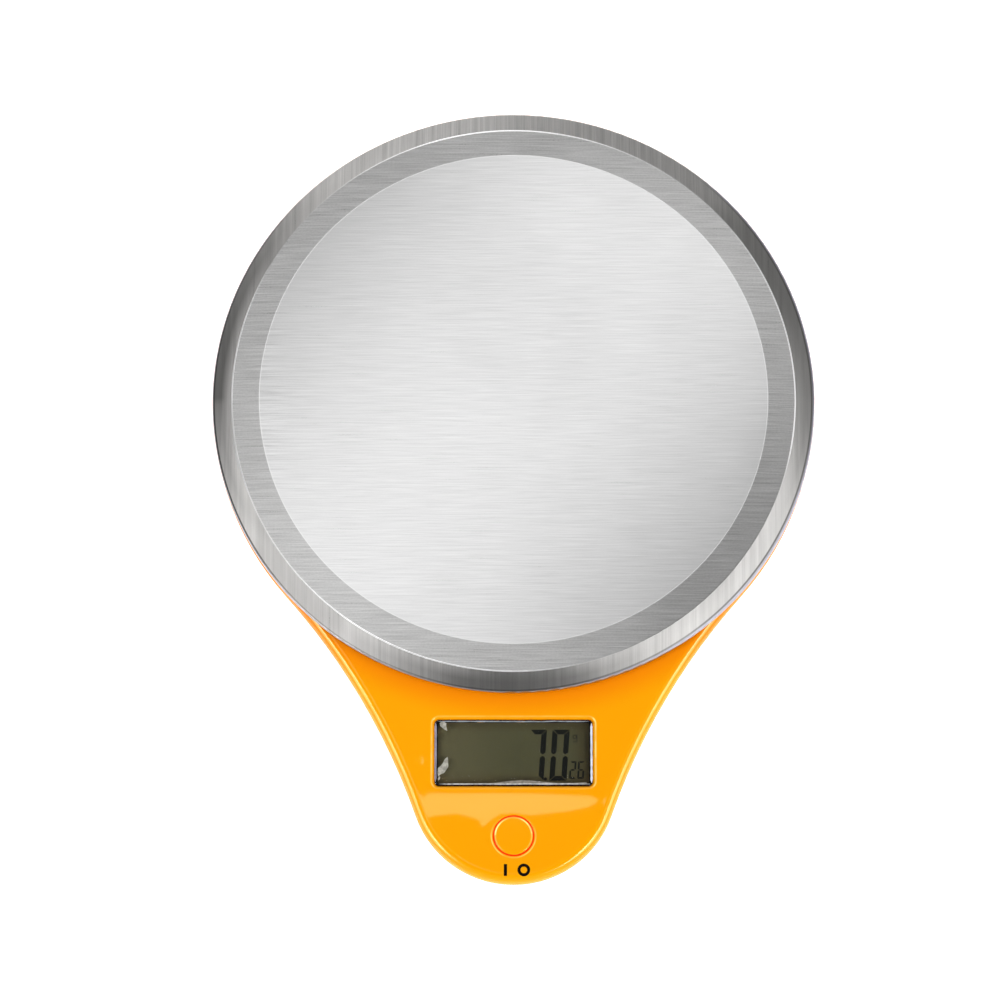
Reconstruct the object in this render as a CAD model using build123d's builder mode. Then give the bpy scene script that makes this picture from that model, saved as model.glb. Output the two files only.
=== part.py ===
from build123d import *
import math
import os

# Electronic portion scale: a round brushed steel platform on a load cell, in a
# flat two-part housing with a display and one key on its front lobe.
# Millimetres. Origin: middle of the overall footprint, on the surface that the
# rubber feet stand on. +X right, +Y to the rear, +Z up.

# ---------------------------------------------------------------- dimensions
TOTAL_L = 236.0                 # rear of the platform to the tip of the lobe
TOTAL_H = 24.0
PLAT_Y = 28.0                   # platform axis

# platform pan
PAN_R = 90.0                    # outside of the lip
PAN_EDGE_R = 84.0               # crease between rim and skirt
PAN_FLAT_R = 75.9               # flat weighing surface
PAN_RIM_DROP = 0.7
PAN_SKIRT_DROP = 2.8            # from the flat down to the lip corner
PAN_LIP = 1.0
PAN_T = 0.5

# housing outline: platform circle, two hollow flanks, front lobe
MAIN_R = 90.0
FLANK_R = 200.0
LOBE_R = 30.4
LOBE_Y = -TOTAL_L / 2 + LOBE_R
Z_WIDEST = 15.0
DECK_TOP = 18.5
DECK_T = 2.0
WALL = 2.0
Z_PART = 8.0                    # parting plane of the two shells
UPPER_TAPER = 14.0
LOWER_TAPER = 35.0
EDGE_R = 3.0                    # rounding of the deck's edge
SHADOW_STEP = 0.35              # lower shell set in at the parting line
BASE_Z = 1.5                    # underside of the housing
FLOOR_T = 2.0

# display
LCD_Y = -79.2
LENS_W, LENS_D, LENS_R, LENS_T = 46.4, 19.8, 1.3, 0.9
LENS_TOP = 17.9
LENS_GAP = 0.15
LENS_LEDGE = 0.7
RECESS_EDGE_R = 1.0             # rounding of the recess's top edge

# key
KEY_Y = -104.0
KEY_HOLE_R = 6.0
KEY_R = 5.7
KEY_TOP = 18.9
KEY_FLANGE_R = 7.2
KEY_TRAVEL = 0.3

# circuit board
PCB_TOP = 11.6
PCB_T = 1.6

# load cell
CELL_L, CELL_W, CELL_H = 60.0, 12.7, 8.0
CELL_Z = 6.5
CELL_HOLE_PITCH = 7.0           # two screws at each end
CELL_END = 6.5                  # end face to the first screw
OVERLOAD_GAP = 0.6

# battery box
BAT_R, BAT_L, BAT_NUB_R, BAT_NUB_L = 5.25, 44.5, 1.9, 1.0
BAT_YF, BAT_YR = -30.65, -19.35
BAT_Z = 9.4
BOX_X = 25.4
BOX_Y0, BOX_Y1 = -36.4, -10.8
BOX_WALL = 1.2
DOOR_X, DOOR_Y0, DOOR_Y1 = 24.0, -36.0, -15.1
DOOR_T = 1.8
DOOR_GAP = 0.4

FOOT_R, FOOT_H, FOOT_IN = 6.0, 2.0, 0.5
FOOT_PCD_R = 72.0
HOUSING_SCREWS = [(75.0, 28.0), (-75.0, 28.0), (0.0, 103.0), (34.0, -56.0), (-34.0, -56.0)]
FEET = [(50.9, 78.9), (-50.9, 78.9), (50.9, -22.9), (-50.9, -22.9)]
BOARD_SCREWS = [(22.5, -64.0), (-22.5, -64.0), (16.5, -99.0), (-16.5, -99.0)]

# --------------------------------------------------------------- derived
C0 = (0.0, PLAT_Y)
_d = PLAT_Y - LOBE_Y
_a, _b = MAIN_R + FLANK_R, LOBE_R + FLANK_R
_fy = (_b * _b - _a * _a - _d * _d) / (2 * _d)
FLANK_X = math.sqrt(_a * _a - _fy * _fy)
FLANK_Y = PLAT_Y + _fy
ANG_MAIN = math.degrees(math.atan2(PLAT_Y - FLANK_Y, FLANK_X))
ANG_LOBE = math.degrees(math.atan2(LOBE_Y - FLANK_Y, FLANK_X))
DECK_UNDER = DECK_TOP - DECK_T
FLOOR_TOP = BASE_Z + FLOOR_T
PCB_BOTTOM = PCB_TOP - PCB_T
CELL_Y0 = PLAT_Y - CELL_L / 2
CELL_Y1 = PLAT_Y + CELL_L / 2
UP_IN = (Z_WIDEST - Z_PART) * math.tan(math.radians(UPPER_TAPER))
LOW_IN = UP_IN + SHADOW_STEP
LOW_RUN = (Z_PART - BASE_Z) * math.tan(math.radians(LOWER_TAPER))

print("flank centre", round(FLANK_X, 3), round(FLANK_Y, 3), "angles", round(ANG_MAIN, 3), round(ANG_LOBE, 3))


def outline(inset):
    """Draws the housing's outline, moved in by inset, in the sketch in hand."""
    with BuildLine(Plane.XY) as ring:
        CenterArc(C0, MAIN_R - inset, -ANG_MAIN, 180 + 2 * ANG_MAIN)
        CenterArc((-FLANK_X, FLANK_Y), FLANK_R + inset, ANG_MAIN, ANG_LOBE - ANG_MAIN)
        CenterArc((0, LOBE_Y), LOBE_R - inset, 180 + ANG_LOBE, 180 - 2 * ANG_LOBE)
        CenterArc((FLANK_X, FLANK_Y), FLANK_R + inset, 180 - ANG_LOBE, ANG_LOBE - ANG_MAIN)
    make_face(ring.edges())


def at(x, y, z):
    return Plane.XY.offset(z) * Location((x, y, 0))


os.makedirs("parts", exist_ok=True)


def save(builder, name):
    builder.part.label = name
    export_step(builder.part, f"parts/{name}.step")
    print(name, len(builder.part.solids()), round(builder.part.volume, 1))


# ======================================================================
# Platform: steel pan, tape, carrier, spacer and screws
# ======================================================================
z0 = TOTAL_H
with BuildPart() as platform_pan:
    with BuildSketch(Plane.XZ):
        with BuildLine():
            Polyline(
                (0, z0),
                (PAN_FLAT_R, z0),
                (PAN_EDGE_R, z0 - PAN_RIM_DROP),
                (PAN_R, z0 - PAN_SKIRT_DROP),
                (PAN_R, z0 - PAN_SKIRT_DROP - PAN_LIP),
                (PAN_R - PAN_T, z0 - PAN_SKIRT_DROP - PAN_LIP),
                (PAN_R - PAN_T, z0 - PAN_SKIRT_DROP - 0.33),
                (PAN_EDGE_R - 0.12, z0 - PAN_RIM_DROP - PAN_T),
                (PAN_FLAT_R - 0.03, z0 - PAN_T),
                (0, z0 - PAN_T),
                close=True,
            )
        sk = make_face()
        for (px, pz, rr) in (
            (PAN_FLAT_R, z0, 1.2),
            (PAN_EDGE_R, z0 - PAN_RIM_DROP, 0.9),
            (PAN_R, z0 - PAN_SKIRT_DROP, 0.55),
            (PAN_R - PAN_T, z0 - PAN_SKIRT_DROP - 0.33, 0.2),
            (PAN_EDGE_R - 0.12, z0 - PAN_RIM_DROP - PAN_T, 0.4),
            (PAN_R, z0 - PAN_SKIRT_DROP - PAN_LIP, 0.12),
            (PAN_R - PAN_T, z0 - PAN_SKIRT_DROP - PAN_LIP, 0.12),
        ):
            v = [
                q
                for q in sk.vertices()
                if abs(Plane.XZ.to_local_coords(q.center()).X - px) < 1e-3 and abs(q.Z - pz) < 1e-3
            ]
            v = v or [q for q in sk.vertices() if abs(q.X - px) < 1e-3 and abs(q.Y - pz) < 1e-3]
            sk = fillet(v, rr)
    revolve(axis=Axis.Z)
platform_pan.part.locate(Location((0, PLAT_Y, 0)))

TAPE_T = 0.5
CAR_TOP = z0 - PAN_T - TAPE_T
CAR_R = 77.5
CAR_T = 1.6
STOP_Z = DECK_TOP + OVERLOAD_GAP
CAR_END_Y = CELL_Y1 - CELL_END - CELL_HOLE_PITCH / 2
SPACER_T = 1.0
CAR_BOSS_Z = CELL_Z + CELL_H + SPACER_T
CAR_SCREWS = [(0, CELL_Y1 - CELL_END), (0, CELL_Y1 - CELL_END - CELL_HOLE_PITCH)]
STOPS = [(58 * math.cos(math.radians(a)), PLAT_Y + 58 * math.sin(math.radians(a))) for a in (45, 135, 225, 315)]

# two crescents and a centre strip of foam tape: one ring with the screw area left out
with BuildPart() as pan_tape:
    with BuildSketch(at(0, PLAT_Y, CAR_TOP)):
        Circle(72)
        Circle(52, mode=Mode.SUBTRACT)
    extrude(amount=TAPE_T)
    with BuildSketch(at(0, 18, CAR_TOP)):
        Circle(14)
    extrude(amount=TAPE_T)

with BuildPart() as platform_carrier:
    with BuildSketch(at(0, PLAT_Y, CAR_TOP - CAR_T)):
        Circle(CAR_R)
    extrude(amount=CAR_T)
    # stiffening rings and spokes
    with BuildSketch(at(0, PLAT_Y, STOP_Z + 1.1)):
        Circle(CAR_R)
        Circle(CAR_R - 1.5, mode=Mode.SUBTRACT)
        Circle(50)
        Circle(48.6, mode=Mode.SUBTRACT)
    extrude(amount=CAR_TOP - CAR_T - STOP_Z - 1.1)
    with BuildSketch(at(0, PLAT_Y, STOP_Z + 1.1)):
        with PolarLocations(0, 12):
            with Locations((CAR_R / 2 + 10, 0)):
                Rectangle(CAR_R - 23, 1.4)
    extrude(amount=CAR_TOP - CAR_T - STOP_Z - 1.1)
    # overload stops
    with BuildSketch(Plane.XY.offset(STOP_Z)):
        with Locations(*STOPS):
            Circle(3.0)
    extrude(amount=CAR_TOP - CAR_T - STOP_Z)
    # block that stands on the load cell
    with BuildSketch(at(0, CAR_END_Y, CAR_BOSS_Z)):
        RectangleRounded(17, 20, 2)
    extrude(amount=CAR_TOP - CAR_BOSS_Z)
    # screw holes with sunk heads
    with Locations(*[(x, y, CAR_TOP) for x, y in CAR_SCREWS]):
        CounterBoreHole(radius=1.7, counter_bore_radius=3.1, counter_bore_depth=3.0)

with BuildPart() as carrier_spacer:
    with BuildSketch(at(0, CAR_END_Y, CAR_BOSS_Z - SPACER_T)):
        RectangleRounded(12.6, 15.5, 1)
        with Locations((0, CELL_HOLE_PITCH / 2), (0, -CELL_HOLE_PITCH / 2)):
            Circle(1.7, mode=Mode.SUBTRACT)
    extrude(amount=SPACER_T)


def screw_down(locs, z_head_under, head_r, head_h, shaft_r, length, cross=True):
    """Pan-head screws with their heads up: shaft from the head's underside down."""
    with Locations(*[(x, y, 0) for x, y in locs]):
        with Locations((0, 0, z_head_under)):
            Cylinder(head_r, head_h, align=(Align.CENTER, Align.CENTER, Align.MIN))
        with Locations((0, 0, z_head_under - length)):
            Cylinder(shaft_r, length, align=(Align.CENTER, Align.CENTER, Align.MIN))
        with Locations((0, 0, z_head_under + head_h)):
            Box(head_r * 1.15, 0.6, 2 * head_h * 0.55, mode=Mode.SUBTRACT)
            Box(0.6, head_r * 1.15, 2 * head_h * 0.55, mode=Mode.SUBTRACT)


def screw_up(locs, z_head_under, head_r, head_h, shaft_r, length):
    """Pan-head screws with their heads down: shaft from the head's face up."""
    with Locations(*[(x, y, 0) for x, y in locs]):
        with Locations((0, 0, z_head_under)):
            Cylinder(head_r, head_h, align=(Align.CENTER, Align.CENTER, Align.MAX))
            Cylinder(shaft_r, length, align=(Align.CENTER, Align.CENTER, Align.MIN))
        with Locations((0, 0, z_head_under - head_h)):
            Box(head_r * 1.15, 0.6, 2 * head_h * 0.55, mode=Mode.SUBTRACT)
            Box(0.6, head_r * 1.15, 2 * head_h * 0.55, mode=Mode.SUBTRACT)


with BuildPart() as carrier_screws:
    screw_down(CAR_SCREWS, CAR_TOP - 3.0, 2.75, 1.8, 1.45, 10.5)

# ======================================================================
# Load cell and what fastens it
# ======================================================================
BASE_SCREWS = [(0, CELL_Y0 + CELL_END), (0, CELL_Y0 + CELL_END + CELL_HOLE_PITCH)]
with BuildPart() as load_cell:
    with BuildSketch(at(0, PLAT_Y, CELL_Z)):
        Rectangle(CELL_W, CELL_L)
    extrude(amount=CELL_H)
    chamfer(load_cell.edges().filter_by(Axis.Z), 0.4)
    # the two joined holes that make the thin bending walls
    with BuildSketch(Plane.YZ.offset(-CELL_W / 2)):
        with Locations((PLAT_Y - 6, CELL_Z + CELL_H / 2), (PLAT_Y + 6, CELL_Z + CELL_H / 2)):
            Circle(3.1)
        with Locations((PLAT_Y, CELL_Z + CELL_H / 2)):
            Rectangle(12, 2.2)
    extrude(amount=CELL_W, mode=Mode.SUBTRACT)
    with Locations(*[(x, y, CELL_Z + CELL_H) for x, y in CAR_SCREWS + BASE_SCREWS]):
        Hole(1.5, depth=CELL_H)

COAT = 0.8
with BuildPart() as strain_gauge_coating:
    with BuildSketch(Plane.XZ.offset(-(PLAT_Y - 9))):
        with Locations((0, CELL_Z + CELL_H / 2)):
            RectangleRounded(CELL_W + 2 * COAT, CELL_H + 2 * COAT, 0.6)
            Rectangle(CELL_W, CELL_H, mode=Mode.SUBTRACT)
    extrude(amount=-18)

SHIM_T = 1.0
LC_BOSS_TOP = CELL_Z - SHIM_T
LC_BASE_Y = CELL_Y0 + CELL_END + CELL_HOLE_PITCH / 2
with BuildPart() as load_cell_shim:
    with BuildSketch(at(0, LC_BASE_Y, LC_BOSS_TOP)):
        RectangleRounded(12.6, 15.5, 1)
        with Locations((0, CELL_HOLE_PITCH / 2), (0, -CELL_HOLE_PITCH / 2)):
            Circle(1.7, mode=Mode.SUBTRACT)
    extrude(amount=SHIM_T)

with BuildPart() as load_cell_screws:
    screw_up(BASE_SCREWS, BASE_Z + 1.9, 2.75, 1.6, 1.45, 9.0)

# ======================================================================
# Housing
# ======================================================================
HB_R = 3.2                      # housing screw boss
HB_Z = FLOOR_TOP + 0.9          # the boss stands on the lower shell's collar

with BuildPart() as upper_shell:
    with BuildSketch(Plane.XY.offset(Z_WIDEST)):
        outline(0)
    extrude(amount=DECK_TOP - Z_WIDEST)
    fillet(upper_shell.faces().sort_by(Axis.Z)[-1].edges(), EDGE_R)
    with BuildSketch(Plane.XY.offset(Z_WIDEST)):
        outline(0)
    extrude(amount=Z_WIDEST - Z_PART, dir=(0, 0, -1), taper=UPPER_TAPER)
    # hollow
    with BuildSketch(Plane.XY.offset(Z_WIDEST)):
        outline(WALL)
    extrude(amount=DECK_UNDER - Z_WIDEST, mode=Mode.SUBTRACT)
    with BuildSketch(Plane.XY.offset(Z_WIDEST)):
        outline(WALL)
    extrude(amount=Z_WIDEST - Z_PART, dir=(0, 0, -1), taper=UPPER_TAPER, mode=Mode.SUBTRACT)
    # inner edge rounding of the hollow is left square; bosses and ribs follow
    with BuildSketch(Plane.XY.offset(HB_Z)):
        with Locations(*HOUSING_SCREWS):
            Circle(HB_R)
    extrude(amount=DECK_UNDER - HB_Z)
    with BuildSketch(Plane.XY.offset(PCB_TOP)):
        with Locations(*BOARD_SCREWS):
            Circle(2.4)
    extrude(amount=DECK_UNDER - PCB_TOP)
    # deck stiffening ribs under the platform
    with BuildSketch(at(0, PLAT_Y, DECK_UNDER - 2.0)):
        Circle(73)
        Circle(71.8, mode=Mode.SUBTRACT)
    extrude(amount=2.0)
    # opening for the carrier's block
    with BuildSketch(at(0, CAR_END_Y, DECK_UNDER - 0.01)):
        RectangleRounded(22, 25, 3)
    extrude(amount=DECK_T + 0.02, mode=Mode.SUBTRACT)
    # display opening: recess for the window, ledge below it
    with BuildSketch(at(0, LCD_Y, LENS_TOP - LENS_T)):
        RectangleRounded(LENS_W + 2 * LENS_GAP, LENS_D + 2 * LENS_GAP, LENS_R + LENS_GAP)
    extrude(amount=5, mode=Mode.SUBTRACT)
    with BuildSketch(at(0, LCD_Y, DECK_UNDER - 0.01)):
        RectangleRounded(LENS_W - 2 * LENS_LEDGE, LENS_D - 2 * LENS_LEDGE, 0.8)
    extrude(amount=5, mode=Mode.SUBTRACT)
    # key hole
    with Locations((0, KEY_Y, DECK_TOP)):
        Hole(KEY_HOLE_R, depth=DECK_T + 0.01)
    # rounded edges of the display recess and of the key hole
    top_edges = upper_shell.faces().filter_by(Plane.XY).sort_by(Axis.Z)[-1].inner_wires()
    lcd_wire = [w for w in top_edges if abs(w.bounding_box().center().Y - LCD_Y) < 1 and w.length > 100]
    key_wire = [w for w in top_edges if abs(w.bounding_box().center().Y - KEY_Y) < 1 and w.length < 45]
    fillet(lcd_wire[0].edges(), RECESS_EDGE_R)
    key_wire = [
        w
        for w in upper_shell.faces().filter_by(Plane.XY).sort_by(Axis.Z)[-1].inner_wires()
        if abs(w.bounding_box().center().Y - KEY_Y) < 1 and w.length < 45
    ]
    fillet(key_wire[0].edges(), 0.3)
    # pilot holes
    with Locations(*[(x, y, HB_Z) for x, y in HOUSING_SCREWS]):
        Cylinder(1.3, 10.5, align=(Align.CENTER, Align.CENTER, Align.MIN), mode=Mode.SUBTRACT)
    with Locations(*[(x, y, PCB_TOP) for x, y in BOARD_SCREWS]):
        Cylinder(0.95, 4.2, align=(Align.CENTER, Align.CENTER, Align.MIN), mode=Mode.SUBTRACT)

with BuildPart() as lower_shell:
    with BuildSketch(Plane.XY.offset(Z_PART)):
        outline(LOW_IN)
    extrude(amount=Z_PART - BASE_Z, dir=(0, 0, -1), taper=LOWER_TAPER)
    fillet(lower_shell.faces().sort_by(Axis.Z)[0].edges(), 2.5)
    with BuildSketch(Plane.XY.offset(Z_PART)):
        outline(LOW_IN + WALL)
    extrude(amount=Z_PART - FLOOR_TOP, dir=(0, 0, -1), taper=LOWER_TAPER, mode=Mode.SUBTRACT)
    # tongue that fits inside the upper shell
    with BuildSketch(Plane.XY.offset(Z_PART - 1.0)):
        outline(UP_IN + WALL + 0.12)
    extrude(amount=2.4)
    with BuildSketch(Plane.XY.offset(Z_PART - 1.5)):
        outline(UP_IN + WALL + 1.2)
    extrude(amount=3.2, mode=Mode.SUBTRACT)
    # collars round the housing screws
    with BuildSketch(Plane.XY.offset(FLOOR_TOP - 0.5)):
        with Locations(*HOUSING_SCREWS):
            Circle(HB_R + 1.3)
    extrude(amount=HB_Z - FLOOR_TOP + 0.5)
    # boss for the load cell's fixed end, with two side ribs
    with BuildSketch(at(0, LC_BASE_Y, FLOOR_TOP - 0.5)):
        RectangleRounded(18, 20, 2)
    extrude(amount=LC_BOSS_TOP - FLOOR_TOP + 0.5)
    # floor ribs
    with BuildSketch(at(0, PLAT_Y, FLOOR_TOP - 0.5)):
        Circle(60)
        Circle(58.8, mode=Mode.SUBTRACT)
        with Locations((0, -56)):
            Rectangle(62, 30, mode=Mode.SUBTRACT)
    extrude(amount=1.8)
    # battery box
    with BuildSketch(Plane.XY.offset(FLOOR_TOP - 0.5)):
        with Locations((0, (BOX_Y0 + BOX_Y1) / 2)):
            Rectangle(2 * (BOX_X + BOX_WALL), BOX_Y1 - BOX_Y0 + 2 * BOX_WALL)
            Rectangle(2 * BOX_X, BOX_Y1 - BOX_Y0, mode=Mode.SUBTRACT)
    extrude(amount=DECK_UNDER - 0.6 - FLOOR_TOP + 0.5)
    with BuildSketch(Plane.XY.offset(DECK_UNDER - 0.6 - 1.0)):
        with Locations((0, (BOX_Y0 + BOX_Y1) / 2)):
            Rectangle(2 * (BOX_X + BOX_WALL), BOX_Y1 - BOX_Y0 + 2 * BOX_WALL)
    extrude(amount=1.0)
    # door opening
    with BuildSketch(Plane.XY.offset(BASE_Z - 0.1)):
        with Locations((0, (DOOR_Y0 - DOOR_GAP + DOOR_Y1 + 0.5) / 2)):
            Rectangle(2 * (DOOR_X + DOOR_GAP), DOOR_Y1 + 0.5 - DOOR_Y0 + DOOR_GAP)
    extrude(amount=FLOOR_T + 0.2, mode=Mode.SUBTRACT)
    # finger scoop beside the latch
    with BuildSketch(Plane.XY.offset(BASE_Z - 0.1)):
        with Locations((0, DOOR_Y0 - DOOR_GAP)):
            SlotCenterToCenter(8, 7)
    extrude(amount=1.1, mode=Mode.SUBTRACT)
    # slots in the box's left wall for the two contact tabs
    with Locations((-BOX_X - BOX_WALL / 2, BAT_YF, 12.6), (-BOX_X - BOX_WALL / 2, BAT_YR, 12.6)):
        Box(BOX_WALL + 0.2, 3.4, 0.6, mode=Mode.SUBTRACT)
    # recesses for the feet
    with BuildSketch(Plane.XY.offset(BASE_Z)):
        with Locations(*FEET):
            Circle(FOOT_R + 0.1)
    extrude(amount=FOOT_IN, mode=Mode.SUBTRACT)
    # screw holes
    with BuildSketch(Plane.XY.offset(BASE_Z - 0.1)):
        with Locations(*(HOUSING_SCREWS + BASE_SCREWS)):
            Circle(1.7)
    extrude(amount=8, mode=Mode.SUBTRACT)
    with BuildSketch(Plane.XY.offset(BASE_Z - 0.1)):
        with Locations(*(HOUSING_SCREWS + BASE_SCREWS)):
            Circle(3.1)
    extrude(amount=2.0, mode=Mode.SUBTRACT)

with BuildPart() as housing_screws:
    screw_up(HOUSING_SCREWS, BASE_Z + 1.9, 2.75, 1.5, 1.2, 9.5)

with BuildPart() as rubber_feet:
    with BuildSketch(Plane.XY):
        with Locations(*FEET):
            Circle(FOOT_R)
    extrude(amount=FOOT_H)
    fillet(rubber_feet.edges().filter_by(GeomType.CIRCLE).group_by(Axis.Z)[0], 0.6)

# ======================================================================
# Battery door, cells and contacts
# ======================================================================
# pivot line of the tabs: y = DOOR_Y1 - 0.4, z = BASE_Z + 0.7
with BuildPart() as battery_door:
    with BuildSketch(Plane.XY.offset(BASE_Z)):
        with Locations((0, (DOOR_Y0 + DOOR_Y1) / 2)):
            RectangleRounded(2 * DOOR_X, DOOR_Y1 - DOOR_Y0, 0.3)
    extrude(amount=DOOR_T)
    fillet(battery_door.faces().sort_by(Axis.Z)[0].edges(), 0.28)
    # two tabs that tuck over the edge of the opening
    for sx in (-15, 15):
        with BuildSketch(Plane.YZ.offset(sx - 3)):
            with BuildLine():
                Polyline(
                    (DOOR_Y1 - 2.2, BASE_Z + DOOR_T - 0.2),
                    (DOOR_Y1 - 0.15, BASE_Z + DOOR_T - 0.2),
                    (DOOR_Y1 - 0.15, FLOOR_TOP + 0.25),
                    (DOOR_Y1 + 1.25, FLOOR_TOP + 0.25),
                    (DOOR_Y1 + 1.25, FLOOR_TOP + 0.55),
                    (DOOR_Y1 + 0.95, FLOOR_TOP + 0.85),
                    (DOOR_Y1 - 0.9, FLOOR_TOP + 0.85),
                    close=True,
                )
            make_face()
        extrude(amount=6)
    # latch: a tongue cut free on both sides, with a low nose
    with BuildSketch(Plane.XY.offset(BASE_Z - 0.1)):
        with Locations((-5, DOOR_Y0 + 3.5), (5, DOOR_Y0 + 3.5)):
            Rectangle(0.8, 7.0)
    extrude(amount=DOOR_T + 0.2, mode=Mode.SUBTRACT)
    with BuildSketch(Plane.YZ.offset(-3.5)):
        with BuildLine():
            Polyline(
                (DOOR_Y0 + 0.05, BASE_Z + 0.7),
                (DOOR_Y0 - 0.25, BASE_Z + 1.0),
                (DOOR_Y0 - 0.25, BASE_Z + 1.2),
                (DOOR_Y0 + 0.05, BASE_Z + 1.5),
                close=True,
            )
        make_face()
    extrude(amount=7.0)
    # grip grooves on the outside
    with BuildSketch(Plane.XY.offset(BASE_Z - 0.1)):
        with Locations((0, DOOR_Y0 + 3.0), (0, DOOR_Y0 + 4.4), (0, DOOR_Y0 + 5.8)):
            SlotCenterToCenter(6, 0.6)
    extrude(amount=0.4, mode=Mode.SUBTRACT)

CELL_X0 = -21.4                 # flat end of the front cell


def cell(y, sign):
    """One AAA cell along X, its button end towards sign."""
    with Locations(Location((sign * CELL_X0, y, BAT_Z), (0, 90 * sign, 0))):
        Cylinder(BAT_R, BAT_L - BAT_NUB_L, align=(Align.CENTER, Align.CENTER, Align.MIN))
        Cylinder(BAT_NUB_R, BAT_L, align=(Align.CENTER, Align.CENTER, Align.MIN))


with BuildPart() as battery_front:
    cell(BAT_YF, 1)
    chamfer(battery_front.edges().filter_by(GeomType.CIRCLE).filter_by(lambda e: e.radius > 5), 0.5)
with BuildPart() as battery_rear:
    cell(BAT_YR, -1)
    chamfer(battery_rear.edges().filter_by(GeomType.CIRCLE).filter_by(lambda e: e.radius > 5), 0.5)

PLATE_T = 0.4


def leaf(xw, y, s):
    """A bent leaf on the wall at xw; s is the way it springs out."""
    with BuildSketch(Plane.XY.offset(BAT_Z - 3)) as strip:
        with BuildLine():
            Polyline(
                (xw + s * 0.2, y - 4.2),
                (xw + s * 3.6, y - 0.3),
                (xw + s * 3.6, y + 0.3),
                (xw + s * 0.9, y + 3.6),
                (xw + s * 1.2, y + 3.8),
                (xw + s * 3.88, y + 0.45),
                (xw + s * 3.88, y - 0.45),
                (xw + s * 0.65, y - 4.25),
                close=True,
            )
        make_face()
    extrude(strip.sketch, amount=6)


def plate(x0, x1, y0, y1, z0_, z1):
    with Locations(((x0 + x1) / 2, (y0 + y1) / 2, (z0_ + z1) / 2)):
        Box(abs(x1 - x0), y1 - y0, z1 - z0_)


def dimple(xw, y, s, reach):
    with Locations(Location((xw, y, BAT_Z), (0, 90 * s, 0))):
        Cone(2.6, 1.9, reach, align=(Align.CENTER, Align.CENTER, Align.MIN))


TAB_Z = 12.6
with BuildPart() as battery_terminal_minus:
    plate(-BOX_X, -BOX_X + PLATE_T, BAT_YF - 4.6, BAT_YF + 4.6, 5.2, 13.4)
    leaf(-BOX_X + PLATE_T - 0.3, BAT_YF, 1)
    plate(-BOX_X - BOX_WALL - 2.2, -BOX_X + 0.1, BAT_YF - 1.5, BAT_YF + 1.5, TAB_Z - 0.2, TAB_Z + 0.2)
with BuildPart() as battery_terminal_plus:
    plate(-BOX_X, -BOX_X + PLATE_T, BAT_YR - 4.6, BAT_YR + 4.6, 5.2, 13.4)
    dimple(-BOX_X + PLATE_T, BAT_YR, 1, 1.85)
    plate(-BOX_X - BOX_WALL - 2.2, -BOX_X + 0.1, BAT_YR - 1.5, BAT_YR + 1.5, TAB_Z - 0.2, TAB_Z + 0.2)
with BuildPart() as battery_bridge_contact:
    plate(BOX_X - PLATE_T, BOX_X, BAT_YF - 4.6, BAT_YR + 4.6, 5.2, 13.4)
    dimple(BOX_X - PLATE_T, BAT_YF, -1, 1.85)
    leaf(BOX_X - PLATE_T + 0.3, BAT_YR, -1)

# ======================================================================
# Display and circuit board
# ======================================================================
with BuildPart() as display_window:
    with BuildSketch(at(0, LCD_Y, LENS_TOP - LENS_T)):
        RectangleRounded(LENS_W, LENS_D, LENS_R)
    extrude(amount=LENS_T)
    fillet(display_window.faces().sort_by(Axis.Z)[-1].edges(), 0.5)

GLASS_W = 48.0
GLASS_Y0, GLASS_Y1 = -91.45, -68.95    # lower glass; its front edge carries the contacts
CONTACT_D = 2.4
GLASS_Z0, GLASS_Z1 = 14.1, 16.1
GLASS_Y = (GLASS_Y0 + GLASS_Y1) / 2
UPPER_Y = (GLASS_Y0 + CONTACT_D + GLASS_Y1) / 2
UPPER_D = GLASS_Y1 - GLASS_Y0 - CONTACT_D
PEG_Y = -73.7
with BuildPart() as lcd_glass:
    with BuildSketch(at(0, GLASS_Y, GLASS_Z0)):
        Rectangle(GLASS_W, GLASS_Y1 - GLASS_Y0)
    extrude(amount=1.0)
    with BuildSketch(at(0, UPPER_Y, GLASS_Z0 + 1.0)):
        Rectangle(GLASS_W, UPPER_D)
    extrude(amount=GLASS_Z1 - GLASS_Z0 - 1.0)
with BuildPart() as lcd_polarizer:
    with BuildSketch(at(0, UPPER_Y, GLASS_Z1)):
        Rectangle(GLASS_W - 1.0, UPPER_D - 0.4)
    extrude(amount=0.2)
with BuildPart() as lcd_reflector:
    with BuildSketch(at(0, UPPER_Y, GLASS_Z0 - 0.2)):
        Rectangle(GLASS_W - 1.0, UPPER_D - 0.8)
    extrude(amount=0.2)
with BuildPart() as zebra_strip:
    with BuildSketch(at(0, GLASS_Y0 + CONTACT_D / 2, PCB_TOP)):
        Rectangle(GLASS_W - 4, 1.8)
    extrude(amount=GLASS_Z0 - PCB_TOP)
with BuildPart() as lcd_holder:
    with BuildSketch(at(0, GLASS_Y, PCB_TOP)):
        RectangleRounded(GLASS_W + 2.6, GLASS_Y1 - GLASS_Y0 + 2.6, 0.8)
        Rectangle(GLASS_W + 0.3, GLASS_Y1 - GLASS_Y0 + 0.3, mode=Mode.SUBTRACT)
    extrude(amount=GLASS_Z1 - PCB_TOP)
    with BuildSketch(at(0, GLASS_Y + 2.3, PCB_TOP)):
        Rectangle(GLASS_W + 2.6, 18.5)
        Rectangle(GLASS_W - 8, 9.5, mode=Mode.SUBTRACT)
    extrude(amount=GLASS_Z0 - 0.2 - PCB_TOP)
    # two pegs that locate the frame in the board
    with BuildSketch(at(0, PEG_Y, PCB_TOP - 1.2)):
        with Locations((-23.0, 0), (23.0, 0)):
            Circle(0.8)
    extrude(amount=1.3)

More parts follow.
